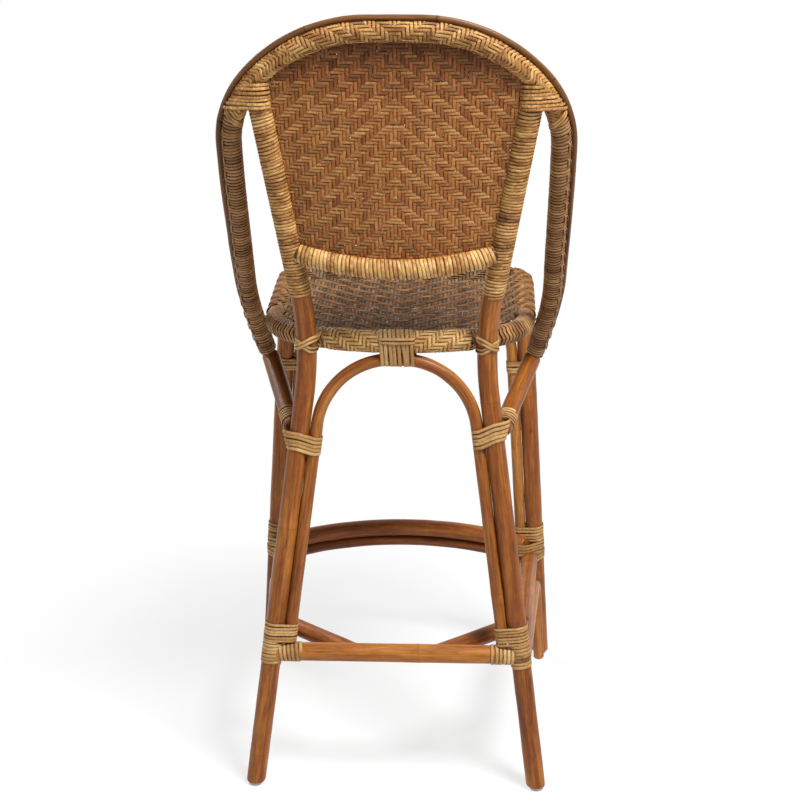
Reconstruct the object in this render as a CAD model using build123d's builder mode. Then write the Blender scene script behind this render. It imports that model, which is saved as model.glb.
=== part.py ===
"""Rattan bar stool with a bowed footrest and a woven hoop back.

Millimetres, +Z up. The origin lies on the floor, midway between the stool's sides and
midway between its foremost and rearmost points. The sitter faces -Y.
"""
from build123d import *
from math import cos, radians, sqrt
import os

# ---------------------------------------------------------------- driving dimensions
overall_height = 1195.0
seat_height = 727.0
rear_foot_half_span = 223.0
front_foot_half_span = 248.0
leg_base = 467.0                # rear foot centres to front foot centres

# poles
leg_d = 30.0
hoop_core_d = 26.5
rim_pole_d = 9.0
brace_d = 28.0
arch_d = 19.0
stretcher_d = 29.0
corner_brace_d = 27.0
runner_d = 19.0
footrest_upper_d = 30.0
footrest_lower_d = 19.0
seat_ring_core_d = 27.0
rail_core_d = 26.5
slat_d = 15.0

# woven and wound skins
wrap_wall = 1.6                 # one flat strand of cane
seat_skin_wall = 3.4            # woven rim of the seat
lashing_wall = 2.2              # strands of a lashing round two poles
panel_thickness = 3.0           # woven back
seat_panel_thickness = 6.0

# fits
skin_clearance = 0.15           # between a pole and the strands wound on it
joint_clearance = 0.3           # between two poles that meet or are lashed together

# rear legs: floor, knee beside the seat, top under the hoop
knee_half_span = 128.0
knee_forward = 75.0
knee_bend = 400.0
post_top_half_span = 191.0
post_top_forward = 8.0
post_top_rise = 24.0            # above the hoop's shoulder
foot_round = 4.0

# front legs
front_top_half_span = 199.0
front_top_forward = 455.0
front_top_drop = 11.0           # below the centre line of the seat ring

# seat ring, to its centre line
ring_rear_radius = 340.0
ring_rear_corner = 100.0
ring_front_corner = 45.0
ring_half_width_rear = 190.5
ring_half_width_front = 199.0
ring_length = 398.0
seat_panel_drop = 14.0          # panel's top below the top of the rim
slat_inset = 130.0              # from the front and the rear of the ring

# hoop: half span and forward place of each corner of its run
hoop_end_inset = 9.55           # inside a hoop that stands straight up beside the seat
hoop_end_forward = 238.0
hoop_end_drop = 61.0            # below the seat ring
hoop_hip_outset = 11.45         # outside the same
hoop_hip_forward = 190.0
hoop_hip_rise = 32.0            # above the seat ring
hoop_side_half_span = 232.0
hoop_side_forward = 129.0
hoop_side_share = 0.28          # of the height from hip to shoulder
hoop_waist_half_span = 232.0
hoop_waist_forward = 66.0
hoop_waist_share = 0.635
hoop_shoulder_half_span = 231.0
hoop_shoulder_forward = 19.0
hoop_shoulder_drop = 104.0      # below the crown
hoop_crown_half_span = 122.0
hoop_crown_forward = -10.0
hoop_side_bend = 420.0
hoop_shoulder_bend = 150.0
hoop_crown_bend = 215.0
rim_swing = [42.0, 36.0, 20.0, 8.0, 0.0, 0.0]   # degrees round the hoop, end to crown
rim_tail = 24.0                 # the rim pole runs past the hoop's lower ends

# back panel and the rail below it
rail_rise = 144.0               # rail's ends above the seat ring
rail_sag = 21.0
back_bow = 25.0                 # how far the middle of the back lies behind the posts

# arches under the seat
arch_bend = 115.0
rear_arch_foot_rise = 2.5       # above the wrap on the rear stretcher
front_arch_foot_z = 250.0

# rails near the floor
rear_stretcher_z = 222.0
side_stretcher_front_z = 201.0
corner_brace_reach = 62.0       # from the middle of the rear stretcher
corner_brace_angle = 40.0       # from the rear stretcher
runner_rear_z = 190.0
runner_bend_z = 160.0
runner_bend = 45.0
runner_foot_z = 1.0
footrest_z = 226.0
footrest_forward = 512.0        # middle of its bow
footrest_radius = 340.0

# braces from the hoop's ends back to the rear legs
brace_front_half_span = 208.0
brace_front_forward = 240.0
brace_front_drop = 74.0         # below the seat ring
brace_rear_drop = 132.0
brace_rear_angle = 58.0         # round the leg, from straight outward to straight forward

# lashings and wraps
main_lashing_drop = 151.0       # below the seat ring
main_lashing_tall = 26.0
lower_lashing_rise = 4.25       # above the wrap on the rear stretcher
lower_lashing_tall = 32.0
stretcher_lashing_z = 218.0
stretcher_lashing_tall = 33.0
front_arch_lashing_drop = 152.0
front_arch_lashing_tall = 20.0
footrest_lashing_tall = 30.0
lower_rail_lashing_tall = 24.0
end_wrap_length = 30.0
brace_wrap_length = 24.0
post_wrap_rise = 77.0           # start of the posts' wrapping above the seat ring
shoulder_wrap_tall = 26.0
shoulder_wrap_drop = 12.0       # below the hoop's shoulder
seat_tie_tall = 20.0
centre_tie_wide = 52.0

# fittings
glide_d = 20.0
glide_thickness = 4.0
screw_d = 4.5
screw_head_d = 8.0
screw_head_tall = 3.0
screw_bite = 15.0               # thread held by the second pole
screw_sink = 3.0                # head below the surface of the first pole

os.makedirs("parts", exist_ok=True)

leg_r = leg_d / 2
hoop_wrap_r = hoop_core_d / 2 + skin_clearance + wrap_wall
seat_skin_r = seat_ring_core_d / 2 + skin_clearance + seat_skin_wall
rail_wrap_r = rail_core_d / 2 + skin_clearance + wrap_wall
rim_offset = hoop_wrap_r + joint_clearance + rim_pole_d / 2

hoop_beside_seat = ring_half_width_rear + seat_skin_r + hoop_wrap_r
hoop_end_half_span = hoop_beside_seat - hoop_end_inset
hoop_hip_half_span = hoop_beside_seat + hoop_hip_outset

stretcher_wrap_top = rear_stretcher_z + stretcher_d / 2 + skin_clearance + wrap_wall
rear_arch_foot_z = stretcher_wrap_top + rear_arch_foot_rise
lower_lashing_z = stretcher_wrap_top + lower_lashing_rise + lower_lashing_tall / 2

ring_z = seat_height - seat_skin_r
crown_z = overall_height - rim_pole_d / 2 - rim_offset
shoulder_z = crown_z - hoop_shoulder_drop
hip_z = ring_z + hoop_hip_rise
side_z = hip_z + (shoulder_z - hip_z) * hoop_side_share
waist_z = hip_z + (shoulder_z - hip_z) * hoop_waist_share
rail_z = ring_z + rail_rise
seat_panel_z = seat_height - seat_panel_drop - seat_panel_thickness

# The frame runs from the back of the hoop's crown to the front of the footrest.
frame_rear = hoop_crown_forward - hoop_wrap_r
frame_front = footrest_forward + footrest_upper_d / 2
middle_forward = (frame_front + frame_rear) / 2


def at(half_span, forward, z, side=1):
    """A point given by its distance from the middle and forward of the rear feet."""
    return Vector(side * half_span, middle_forward - forward, z)


def level(start, end, z):
    """The point at height z on the straight line through start and end."""
    return start + (end - start) * ((z - start.Z) / (end.Z - start.Z))


def beside(point, gap, toward):
    """The point at a level distance from another, on its way toward a third."""
    way = Vector(toward.X - point.X, toward.Y - point.Y, 0).normalized()
    return point + way * gap


# ------------------------------------------------------------------- runs of the poles
def rear_leg_run(side):
    return [
        at(rear_foot_half_span, 0, 0, side),
        at(knee_half_span, knee_forward, ring_z, side),
        at(post_top_half_span, post_top_forward, shoulder_z + post_top_rise, side),
    ]


def rear_leg_at(z, side):
    foot, knee, top = rear_leg_run(side)
    return level(foot, knee, z) if z < ring_z else level(knee, top, z)


def rear_leg_beside_seat(side):
    """Where the rounded knee of a rear leg passes the seat ring."""
    foot, knee, top = rear_leg_run(side)
    into, out = (knee - foot).normalized(), (top - knee).normalized()
    half_turn = radians(into.get_angle(out)) / 2
    return knee + (out - into).normalized() * knee_bend * (1 / cos(half_turn) - 1)


def front_leg_at(z, side):
    foot = at(front_foot_half_span, leg_base, 0, side)
    top = at(front_top_half_span, front_top_forward, ring_z, side)
    return level(foot, top, z)


def front_leg_run(side):
    return [front_leg_at(z, side) for z in (0, ring_z - front_top_drop)]


hoop_corners = [
    at(hoop_end_half_span, hoop_end_forward, ring_z - hoop_end_drop),
    at(hoop_hip_half_span, hoop_hip_forward, hip_z),
    at(hoop_side_half_span, hoop_side_forward, side_z),
    at(hoop_waist_half_span, hoop_waist_forward, waist_z),
    at(hoop_shoulder_half_span, hoop_shoulder_forward, shoulder_z),
    at(hoop_crown_half_span, hoop_crown_forward, crown_z),
]
hoop_bends = [hoop_side_bend] * 3 + [hoop_shoulder_bend, hoop_crown_bend]
rim_bends = hoop_bends[:3] + [bend + rim_offset for bend in hoop_bends[3:]]


def both_ways(points):
    """A run from the left side over to the right, mirrored about the middle."""
    return points + [Vector(-p.X, p.Y, p.Z) for p in reversed(points)]


def rim_corners():
    """The rim pole lies outside the hoop and swings to its front lower down."""
    corners = []
    last = len(hoop_corners) - 1
    for i, (corner, swing) in enumerate(zip(hoop_corners, rim_swing)):
        before = hoop_corners[i - 1] if i else corner - (hoop_corners[1] - corner)
        after = hoop_corners[i + 1] if i < last else corner - Vector(corner.X, 0, 0)
        into, out = (corner - before).normalized(), (after - corner).normalized()
        tangent = (into + out).normalized()
        outward = (Vector(1, 0, 0) - tangent * tangent.X).normalized()
        front = outward.cross(tangent)
        reach = rim_offset / cos(radians(into.get_angle(out)) / 2)
        way = outward * cos(radians(swing)) + front * cos(radians(90 - swing))
        corners.append(corner + way * reach)
    tail = (corners[0] - corners[1]).normalized() * rim_tail
    return [corners[0] + tail] + corners[1:]


hoop_run = both_ways(hoop_corners)
hoop_run_bends = hoop_bends + hoop_bends[::-1]
rim_run = both_ways(rim_corners())
rim_run_bends = rim_bends + rim_bends[::-1]

# The rear of the seat ring lies against the knees of the rear legs.
knee_left = rear_leg_beside_seat(1)
knee_reach = ring_rear_radius + seat_skin_r + joint_clearance + leg_r
ring_arc_y = knee_left.Y - sqrt(knee_reach**2 - knee_left.X**2)
ring_rear_y = ring_arc_y + ring_rear_radius
ring_front_y = ring_rear_y - ring_length


def seat_outline(outset):
    """Outline of the seat, outset from the centre line of its ring."""
    with BuildSketch(Plane.XY.offset(ring_z)) as outline:
        with BuildLine():
            Polyline(
                (ring_half_width_front, ring_front_y),
                (ring_half_width_rear, ring_rear_y),
                (-ring_half_width_rear, ring_rear_y),
                (-ring_half_width_front, ring_front_y),
                close=True,
            )
        make_face()
        with Locations((0, ring_arc_y)):
            Circle(ring_rear_radius, mode=Mode.INTERSECT)
        fillet(outline.vertices().group_by(Axis.Y)[-1], ring_rear_corner)
        fillet(outline.vertices().group_by(Axis.Y)[0], ring_front_corner)
        if outset:
            offset(amount=outset)
    return outline.sketch.face()


# ------------------------------------------------------------------------ pole helpers
def pole_solid(run, bends, diameter):
    """A round pole along straight runs joined by tangent arcs, with plain ends."""
    with BuildPart() as stick:
        with BuildLine() as path:
            FilletPolyline(*run, radius=bends) if bends else Polyline(*run)
        with BuildSketch(Plane(origin=path.line @ 0, z_dir=path.line % 0)):
            Circle(diameter / 2)
        sweep()
    return stick.part


def grown(run, bends, diameter, clearance=joint_clearance):
    """The room that a pole takes up in its neighbours."""
    return pole_solid(run, bends, diameter + 2 * clearance)


def cut_pole(run, bends, diameter, *cuts):
    """A pole coped round its neighbours and bored for its screws."""
    with BuildPart() as pole:
        add(pole_solid(run, bends, diameter))
        for cut in cuts:
            add(cut, mode=Mode.SUBTRACT)
        add(screw_bores, mode=Mode.SUBTRACT)
    return pole


def sleeve(run, bends, core_d, wall, *cuts):
    """Strands wound close on one pole."""
    with BuildPart() as skin:
        with BuildLine() as path:
            FilletPolyline(*run, radius=bends) if bends else Polyline(*run)
        with BuildSketch(Plane(origin=path.line @ 0, z_dir=path.line % 0)):
            Circle(core_d / 2 + skin_clearance + wall)
            Circle(core_d / 2 + skin_clearance, mode=Mode.SUBTRACT)
        sweep()
        for cut in cuts:
            add(cut, mode=Mode.SUBTRACT)
        add(screw_bores, mode=Mode.SUBTRACT)
    return skin


def lashing(first, first_d, second, second_d, axis, tall, *cuts, bored=False):
    """A band of strands drawn tight round two poles, bored along them where both are straight."""
    across = (second - first).length
    plane = Plane(origin=(first + second) / 2, x_dir=second - first, z_dir=axis)
    with BuildPart() as band:
        with BuildSketch(plane):
            with Locations((-across / 2, 0)):
                Circle(first_d / 2 + lashing_wall)
            with Locations((across / 2, 0)):
                Circle(second_d / 2 + lashing_wall)
            make_hull()
            if bored:
                with Locations((-across / 2, 0)):
                    Circle(first_d / 2 + joint_clearance, mode=Mode.SUBTRACT)
                with Locations((across / 2, 0)):
                    Circle(second_d / 2 + 2 * joint_clearance, mode=Mode.SUBTRACT)
        extrude(amount=tall / 2, both=True)
        for cut in cuts:
            add(cut, mode=Mode.SUBTRACT)
        add(screw_bores, mode=Mode.SUBTRACT)
    return band


def main_solid(piece):
    """Drop the offcuts that a cope leaves on the far side of a neighbour."""
    with piece:
        add(piece.solids().sort_by(SortBy.VOLUME)[-1], mode=Mode.INTERSECT)
    return piece


def write(piece, name):
    piece.part.label = name
    export_step(piece.part, f"parts/{name}.step")


# ------------------------------------------------------------- where the poles meet
def arch_leg_at(leg_at, z, side):
    """Centre of an arch's leg, on the inner side of the stool's leg."""
    leg = leg_at(z, side)
    return leg - Vector(side * (leg_r + arch_d / 2 + joint_clearance), 0, 0)


def arch_run(leg_at, foot_z, lashing_z, ring_y):
    """Up beside one leg, over under the seat ring and down beside the other."""
    crown_y = (ring_y + leg_at(ring_z, 1).Y) / 2
    reach = seat_skin_r + joint_clearance + arch_d / 2
    crown = ring_z - sqrt(reach**2 - (ring_y - crown_y) ** 2)
    lashed = arch_leg_at(leg_at, lashing_z, 1)
    foot = arch_leg_at(leg_at, foot_z, 1)
    corner = level(foot, lashed, crown)
    return both_ways([foot, lashed, Vector(corner.X, crown_y, crown)])


def arch_bends():
    return [arch_bend * 3, arch_bend, arch_bend, arch_bend * 3]


def stretcher_run():
    left = rear_leg_at(rear_stretcher_z, 1)
    return [left, Vector(-left.X, left.Y, left.Z)]


def side_stretcher_run(side):
    return [rear_leg_at(rear_stretcher_z, side), front_leg_at(side_stretcher_front_z, side)]


def corner_brace_run(side):
    start = Vector(side * corner_brace_reach, rear_leg_at(rear_stretcher_z, 1).Y, rear_stretcher_z)
    way = Vector(side * cos(radians(corner_brace_angle)), -cos(radians(90 - corner_brace_angle)), 0)
    rear, front = side_stretcher_run(side)
    # where the brace's line crosses that of the side stretcher, seen from above
    dx, dy = front.X - rear.X, front.Y - rear.Y
    reach = ((rear.X - start.X) * dy - (rear.Y - start.Y) * dx) / (way.X * dy - way.Y * dx)
    return [start, start + way * reach]


def runner_run(side):
    """Forward under the side stretcher, then down behind the front leg to the floor."""
    gap = leg_r + runner_d / 2 + joint_clearance
    rear_leg = rear_leg_at(runner_rear_z, side)
    front_foot = front_leg_at(runner_foot_z, side)
    front_bend = front_leg_at(runner_bend_z, side)
    rear = beside(rear_leg, gap, front_bend)
    return [rear, beside(front_bend, gap, rear_leg), beside(front_foot, gap, rear_leg)]


def footrest_run(z, diameter):
    """Ends and middle of a bowed pole whose ends lie against the front legs."""
    leg = front_leg_at(z, 1)
    centre_y = at(0, footrest_forward, 0).Y + footrest_radius
    gap = leg_r + joint_clearance + diameter / 2
    # the end lies on the bow's circle, a gap away from the leg, on its inner rear side
    apart = (Vector(leg.X, leg.Y) - Vector(0, centre_y)).length
    inward = (apart**2 + gap**2 - footrest_radius**2) / (2 * apart)
    aside = sqrt(max(gap**2 - inward**2, 0))
    way = (Vector(0, centre_y) - Vector(leg.X, leg.Y)).normalized()
    end = Vector(leg.X, leg.Y) + way * inward + Vector(way.Y, -way.X) * aside
    return Vector(end.X, end.Y, z), at(0, footrest_forward, z)


def footrest_solid(z, diameter, clearance=0.0):
    end, middle = footrest_run(z, diameter)
    with BuildPart() as bow:
        with BuildLine() as path:
            ThreePointArc(end, middle, Vector(-end.X, end.Y, z))
        with BuildSketch(Plane(origin=path.line @ 0, z_dir=path.line % 0)):
            Circle(diameter / 2 + clearance)
        sweep()
    return bow.part


footrest_lower_z = footrest_z - (footrest_upper_d + footrest_lower_d) / 2 - joint_clearance


def brace_run(side):
    leg = rear_leg_at(ring_z - brace_rear_drop, side)
    gap = leg_r + joint_clearance + brace_d / 2
    turn = radians(brace_rear_angle)
    rear = leg + Vector(side * gap * cos(turn), -gap * cos(radians(90) - turn), 0)
    front = at(brace_front_half_span, brace_front_forward, ring_z - brace_front_drop, side)
    return [front, rear]


def rail_points():
    """Left end, middle and right end of the rail below the back panel."""
    end = rear_leg_at(rail_z, 1)
    middle = Vector(0, end.Y + back_bow, rail_z - rail_sag)
    return end, middle, Vector(-end.X, end.Y, end.Z)


def rail_solid(outer_r, inner_r=0.0):
    with BuildPart() as rail:
        with BuildLine() as path:
            ThreePointArc(*rail_points())
        with BuildSketch(Plane(origin=path.line @ 0, z_dir=path.line % 0)):
            Circle(outer_r)
            if inner_r:
                Circle(inner_r, mode=Mode.SUBTRACT)
        sweep()
    return rail.part


def ring_solid(outer_r, inner_r=0.0):
    with BuildPart() as ring:
        for stretch in seat_outline(0).outer_wire().edges():
            with BuildSketch(Plane(origin=stretch @ 0, z_dir=stretch % 0)):
                Circle(outer_r)
                if inner_r:
                    Circle(inner_r, mode=Mode.SUBTRACT)
            sweep(path=stretch)
    return ring.part


# -------------------------------------------------------------------------- screws
def screw(start, way, length, clearance=0.0):
    """A countersunk wood screw, head first."""
    with BuildPart() as one:
        with BuildSketch(Plane(origin=start, z_dir=way)):
            Circle(screw_head_d / 2 + clearance)
        extrude(amount=screw_head_tall)
        with BuildSketch(Plane(origin=start, z_dir=way)):
            Circle(screw_d / 2 + clearance)
        extrude(amount=length + clearance)
    return one.part


def pinned(first, first_r, second, second_r):
    """Start, direction and length of a screw through one pole into the next."""
    way = (second - first).normalized()
    start = first - way * (first_r - screw_sink)
    reach = (second - first).length + first_r - screw_sink
    return start, way, reach - second_r + screw_bite


def screw_places():
    places = []
    for side in (1, -1):
        knee = rear_leg_beside_seat(side)
        arc_centre = Vector(0, ring_arc_y, knee.Z)
        ring_point = beside(knee, leg_r + joint_clearance + seat_skin_r, arc_centre)
        places.append(pinned(knee, leg_r, ring_point, seat_skin_r))

        hoop_point = level(at(hoop_end_half_span, hoop_end_forward, ring_z - hoop_end_drop, side),
                           at(hoop_hip_half_span, hoop_hip_forward, hip_z, side), ring_z)
        ring_side = Vector(side * ring_half_width_rear, hoop_point.Y, ring_z)
        places.append(pinned(hoop_point, hoop_core_d / 2, ring_side, seat_skin_r))

        front, rear = brace_run(side)
        places.append(pinned(rear_leg_at(rear.Z, side), leg_r, rear, brace_d / 2))

        leg = rear_leg_at(rear_stretcher_z, side)
        inner = leg - Vector(side * 2 * leg_r, 0, 0)
        places.append(pinned(leg, leg_r, inner, leg_r))

        end, _ = footrest_run(footrest_z, footrest_upper_d)
        end = Vector(side * end.X, end.Y, end.Z)
        places.append(pinned(front_leg_at(footrest_z, side), leg_r, end, footrest_upper_d / 2))
    return places


with BuildPart() as frame_screws:
    for place in screw_places():
        add(screw(*place))

with BuildPart() as screw_bore_tool:
    for place in screw_places():
        add(screw(*place, clearance=skin_clearance))
screw_bores = screw_bore_tool.part


# ------------------------------------------------------------------------- main poles
shoulder_wraps = {}
rear_legs_room = [grown(rear_leg_run(side), [knee_bend], leg_d) for side in (1, -1)]
front_legs_room = [grown(front_leg_run(side), None, leg_d) for side in (1, -1)]
hoop_room = grown(hoop_run, hoop_run_bends, 2 * hoop_wrap_r)
ring_room = ring_solid(seat_skin_r + joint_clearance)
rail_room = rail_solid(rail_wrap_r + joint_clearance)
footrest_room = footrest_solid(footrest_z, footrest_upper_d, joint_clearance)
lower_rest_room = footrest_solid(footrest_lower_z, footrest_lower_d, joint_clearance)


def post_wrap_run(side):
    low = rear_leg_at(ring_z + post_wrap_rise, side)
    high = rear_leg_at(shoulder_z + post_top_rise, side)
    return [low, high]


def level_foot(pole):
    """A leg's foot is sawn level, just above its glide, and eased all round."""
    with pole:
        split(bisect_by=Plane.XY.offset(glide_thickness))
        fillet(pole.edges().group_by(Axis.Z)[0], foot_round)
    return pole


def make_legs(side, hand):
    leg = cut_pole(rear_leg_run(side), [knee_bend], leg_d, hoop_room)
    write(level_foot(leg), f"rear_leg_{hand}")
    leg = cut_pole(front_leg_run(side), None, leg_d, ring_room)
    write(level_foot(leg), f"front_leg_{hand}")


def make_back():
    write(cut_pole(hoop_run, hoop_run_bends, hoop_core_d), "back_hoop")
    write(sleeve(hoop_run, hoop_run_bends, hoop_core_d, wrap_wall), "hoop_wrap")
    write(cut_pole(rim_run, rim_run_bends, rim_pole_d, hoop_room), "hoop_rim")

    posts_room = [grown(post_wrap_run(side), None, leg_d, skin_clearance + wrap_wall + joint_clearance)
                  for side in (1, -1)]
    with BuildPart() as cross_rail:
        add(rail_solid(rail_core_d / 2))
        for room in posts_room:
            add(room, mode=Mode.SUBTRACT)
    write(cross_rail, "cross_rail")
    with BuildPart() as rail_wrap:
        add(rail_solid(rail_wrap_r, rail_core_d / 2 + skin_clearance))
        for room in posts_room:
            add(room, mode=Mode.SUBTRACT)
    write(rail_wrap, "rail_wrap")
    make_back_panel(posts_room)


def back_band(z):
    """Level slice of the back, bowed at the rail and nearly straight under the crown."""
    end = rear_leg_at(z, 1)
    low = rail_z - rail_sag
    crown_bow = hoop_corners[-1].Y - rear_leg_at(crown_z, 1).Y
    bow = back_bow + (crown_bow - back_bow) * (z - low) / (crown_z - low)
    half = panel_thickness / 2
    with BuildSketch(Plane.XY.offset(z)) as band:
        with BuildLine():
            outer = ThreePointArc((end.X, end.Y + half), (0, end.Y + bow + half),
                                  (-end.X, end.Y + half))
            inner = ThreePointArc((end.X, end.Y - half), (0, end.Y + bow - half),
                                  (-end.X, end.Y - half))
            Line(outer @ 0, inner @ 0)
            Line(outer @ 1, inner @ 1)
        make_face()
    return band.sketch


def make_back_panel(posts_room):
    with BuildPart() as back_panel:
        add(back_band(rail_z - rail_sag))
        add(back_band(crown_z))
        loft(ruled=True)
        for room in (*posts_room, hoop_room, rail_room, *shoulder_wraps.values()):
            add(room, mode=Mode.SUBTRACT)
    write(main_solid(back_panel), "back_panel")


def make_post_wraps(side, hand):
    wrap = sleeve(post_wrap_run(side), None, leg_d, wrap_wall, hoop_room)
    write(wrap, f"post_wrap_{hand}")

    z = shoulder_z - shoulder_wrap_drop
    post = rear_leg_at(z, side)
    hoop = level(at(hoop_waist_half_span, hoop_waist_forward, waist_z, side),
                 at(hoop_shoulder_half_span, hoop_shoulder_forward, shoulder_z, side), z)
    wrap_d = leg_d + 2 * (skin_clearance + wrap_wall)
    room = grown(post_wrap_run(side), None, wrap_d, joint_clearance)
    wrap = lashing(post, wrap_d, hoop, 2 * hoop_wrap_r, (0, 0, 1), shoulder_wrap_tall,
                   room, hoop_room, rim_room, rail_room)
    shoulder_wraps[side] = main_solid(wrap).part
    write(wrap, f"shoulder_wrap_{hand}")


# ----------------------------------------------------------------------------- seat
def make_seat():
    with BuildPart() as seat_ring:
        add(ring_solid(seat_ring_core_d / 2))
        add(screw_bores, mode=Mode.SUBTRACT)
    write(seat_ring, "seat_ring")

    with BuildPart() as seat_rim_wrap:
        add(ring_solid(seat_skin_r, seat_ring_core_d / 2 + skin_clearance))
        add(screw_bores, mode=Mode.SUBTRACT)
    write(seat_rim_wrap, "seat_rim_wrap")

    with BuildPart() as seat_panel:
        with BuildSketch(Plane.XY.offset(seat_panel_z)):
            add(seat_outline(-seat_ring_core_d / 2).moved(Location((0, 0, seat_panel_z - ring_z))))
        extrude(amount=seat_panel_thickness)
        add(ring_room, mode=Mode.SUBTRACT)
    write(seat_panel, "seat_panel")

    for name, y in (("rear_seat_slat", ring_rear_y - slat_inset),
                    ("front_seat_slat", ring_front_y + slat_inset)):
        slat_z = seat_panel_z - joint_clearance - slat_d / 2
        ends = [Vector(side * ring_half_width_front, y, slat_z) for side in (1, -1)]
        write(cut_pole(ends, None, slat_d, ring_room), name)


def make_arches():
    write(cut_pole(rear_arch_run, arch_bends(), arch_d), "rear_arch")
    write(cut_pole(front_arch_run, arch_bends(), arch_d), "front_arch")

    ring_middle = Vector(0, ring_rear_y, ring_z)
    arch_middle = Vector(0, rear_arch_run[2].Y, rear_arch_run[2].Z)
    tie = lashing(ring_middle, 2 * seat_skin_r, arch_middle, arch_d, (1, 0, 0), centre_tie_wide,
                  ring_room, rear_arch_room)
    with tie:
        with Locations((0, ring_rear_y, seat_panel_z - joint_clearance)):
            Box(2 * centre_tie_wide, 4 * seat_skin_r, 4 * seat_skin_r,
                align=(Align.CENTER, Align.CENTER, Align.MIN), mode=Mode.SUBTRACT)
    write(tie, "centre_tie")


rear_arch_run = arch_run(rear_leg_at, rear_arch_foot_z, ring_z - main_lashing_drop, ring_rear_y)
front_arch_run = arch_run(front_leg_at, front_arch_foot_z, ring_z - front_arch_lashing_drop,
                          ring_front_y)
rear_arch_room = grown(rear_arch_run, arch_bends(), arch_d)
front_arch_room = grown(front_arch_run, arch_bends(), arch_d)
stretcher_room = grown(stretcher_run(), None, stretcher_d)
side_room = {side: grown(side_stretcher_run(side), None, stretcher_d) for side in (1, -1)}


# -------------------------------------------------------------------- rails and braces
def make_middle_rails():
    write(cut_pole(stretcher_run(), None, stretcher_d, *rear_legs_room), "rear_stretcher")
    for name, z, diameter in (("footrest_upper", footrest_z, footrest_upper_d),
                              ("footrest_lower", footrest_lower_z, footrest_lower_d)):
        with BuildPart() as bow:
            add(footrest_solid(z, diameter))
            add(screw_bores, mode=Mode.SUBTRACT)
            for room in front_legs_room:
                add(room, mode=Mode.SUBTRACT)
            for side in (1, -1):
                add(side_room[side], mode=Mode.SUBTRACT)
        write(bow, name)


def make_side_rails(side, hand):
    legs = (*rear_legs_room, *front_legs_room)
    rail = cut_pole(side_stretcher_run(side), None, stretcher_d, *legs, stretcher_room)
    write(rail, f"side_stretcher_{hand}")
    brace = cut_pole(corner_brace_run(side), None, corner_brace_d, stretcher_room,
                     side_room[side])
    write(brace, f"corner_brace_{hand}")
    runner = cut_pole(runner_run(side), [runner_bend], runner_d, *legs, side_room[side],
                      footrest_room, lower_rest_room)
    write(runner, f"side_runner_{hand}")
    brace = cut_pole(brace_run(side), None, brace_d, *legs, hoop_room, rim_room, ring_room)
    write(brace, f"hoop_brace_{hand}")


rim_room = grown(rim_run, rim_run_bends, rim_pole_d)
brace_room = {side: grown(brace_run(side), None, brace_d) for side in (1, -1)}
corner_room = {side: grown(corner_brace_run(side), None, corner_brace_d) for side in (1, -1)}
runner_room = {side: grown(runner_run(side), [runner_bend], runner_d) for side in (1, -1)}


# -------------------------------------------------------------------------- lashings
def make_rear_lashings(side, hand):
    def band(z, tall, *cuts):
        leg, arch = rear_leg_at(z, side), arch_leg_at(rear_leg_at, z, side)
        axis = rear_leg_at(z + tall, side) - leg
        return lashing(leg, leg_d, arch, arch_d, axis, tall, *cuts, bored=True)

    high = band(ring_z - main_lashing_drop, main_lashing_tall, brace_room[side])
    write(high, f"main_lashing_{hand}")
    low = band(lower_lashing_z, lower_lashing_tall, stretcher_room, side_room[side],
               runner_room[side], corner_room[side])
    write(low, f"lower_lashing_{hand}")

    leg = rear_leg_at(stretcher_lashing_z, side)
    start = rear_leg_at(stretcher_lashing_z - stretcher_lashing_tall / 2, side)
    end = rear_leg_at(lower_lashing_z - lower_lashing_tall / 2 - joint_clearance, side)
    ankle = sleeve([start, end], None, leg_d, lashing_wall, stretcher_room, side_room[side],
                   rear_arch_room, runner_room[side], corner_room[side])
    write(main_solid(ankle), f"ankle_lashing_{hand}")

    # the leg leans inward as it rises, so the wrap's top edge comes nearest to its strands
    outer = leg_r + skin_clearance + lashing_wall + 2 * joint_clearance
    nearest = rear_leg_at(stretcher_wrap_top, side) - Vector(side * outer, 0, 0)
    begin = Vector(nearest.X, stretcher_run()[0].Y, rear_stretcher_z)
    run = [begin, begin - Vector(side * end_wrap_length, 0, 0)]
    wrap = sleeve(run, None, stretcher_d, wrap_wall)
    write(wrap, f"stretcher_wrap_{hand}")

    front, rear = brace_run(side)
    way = (front - rear).normalized()
    run = [rear + way * 2 * leg_r / 3, rear + way * (2 * leg_r / 3 + brace_wrap_length)]
    wrap = sleeve(run, None, brace_d, wrap_wall, *rear_legs_room, high.part)
    write(wrap, f"brace_wrap_{hand}")

    knee = rear_leg_beside_seat(side)
    ring_point = beside(knee, leg_r + joint_clearance + seat_skin_r,
                        Vector(0, ring_arc_y, knee.Z))
    tie = lashing(knee, leg_d, ring_point, 2 * seat_skin_r, (0, 0, 1), seat_tie_tall,
                  *rear_legs_room, ring_room, seat_panel_room)
    write(main_solid(tie), f"seat_tie_{hand}")


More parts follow.
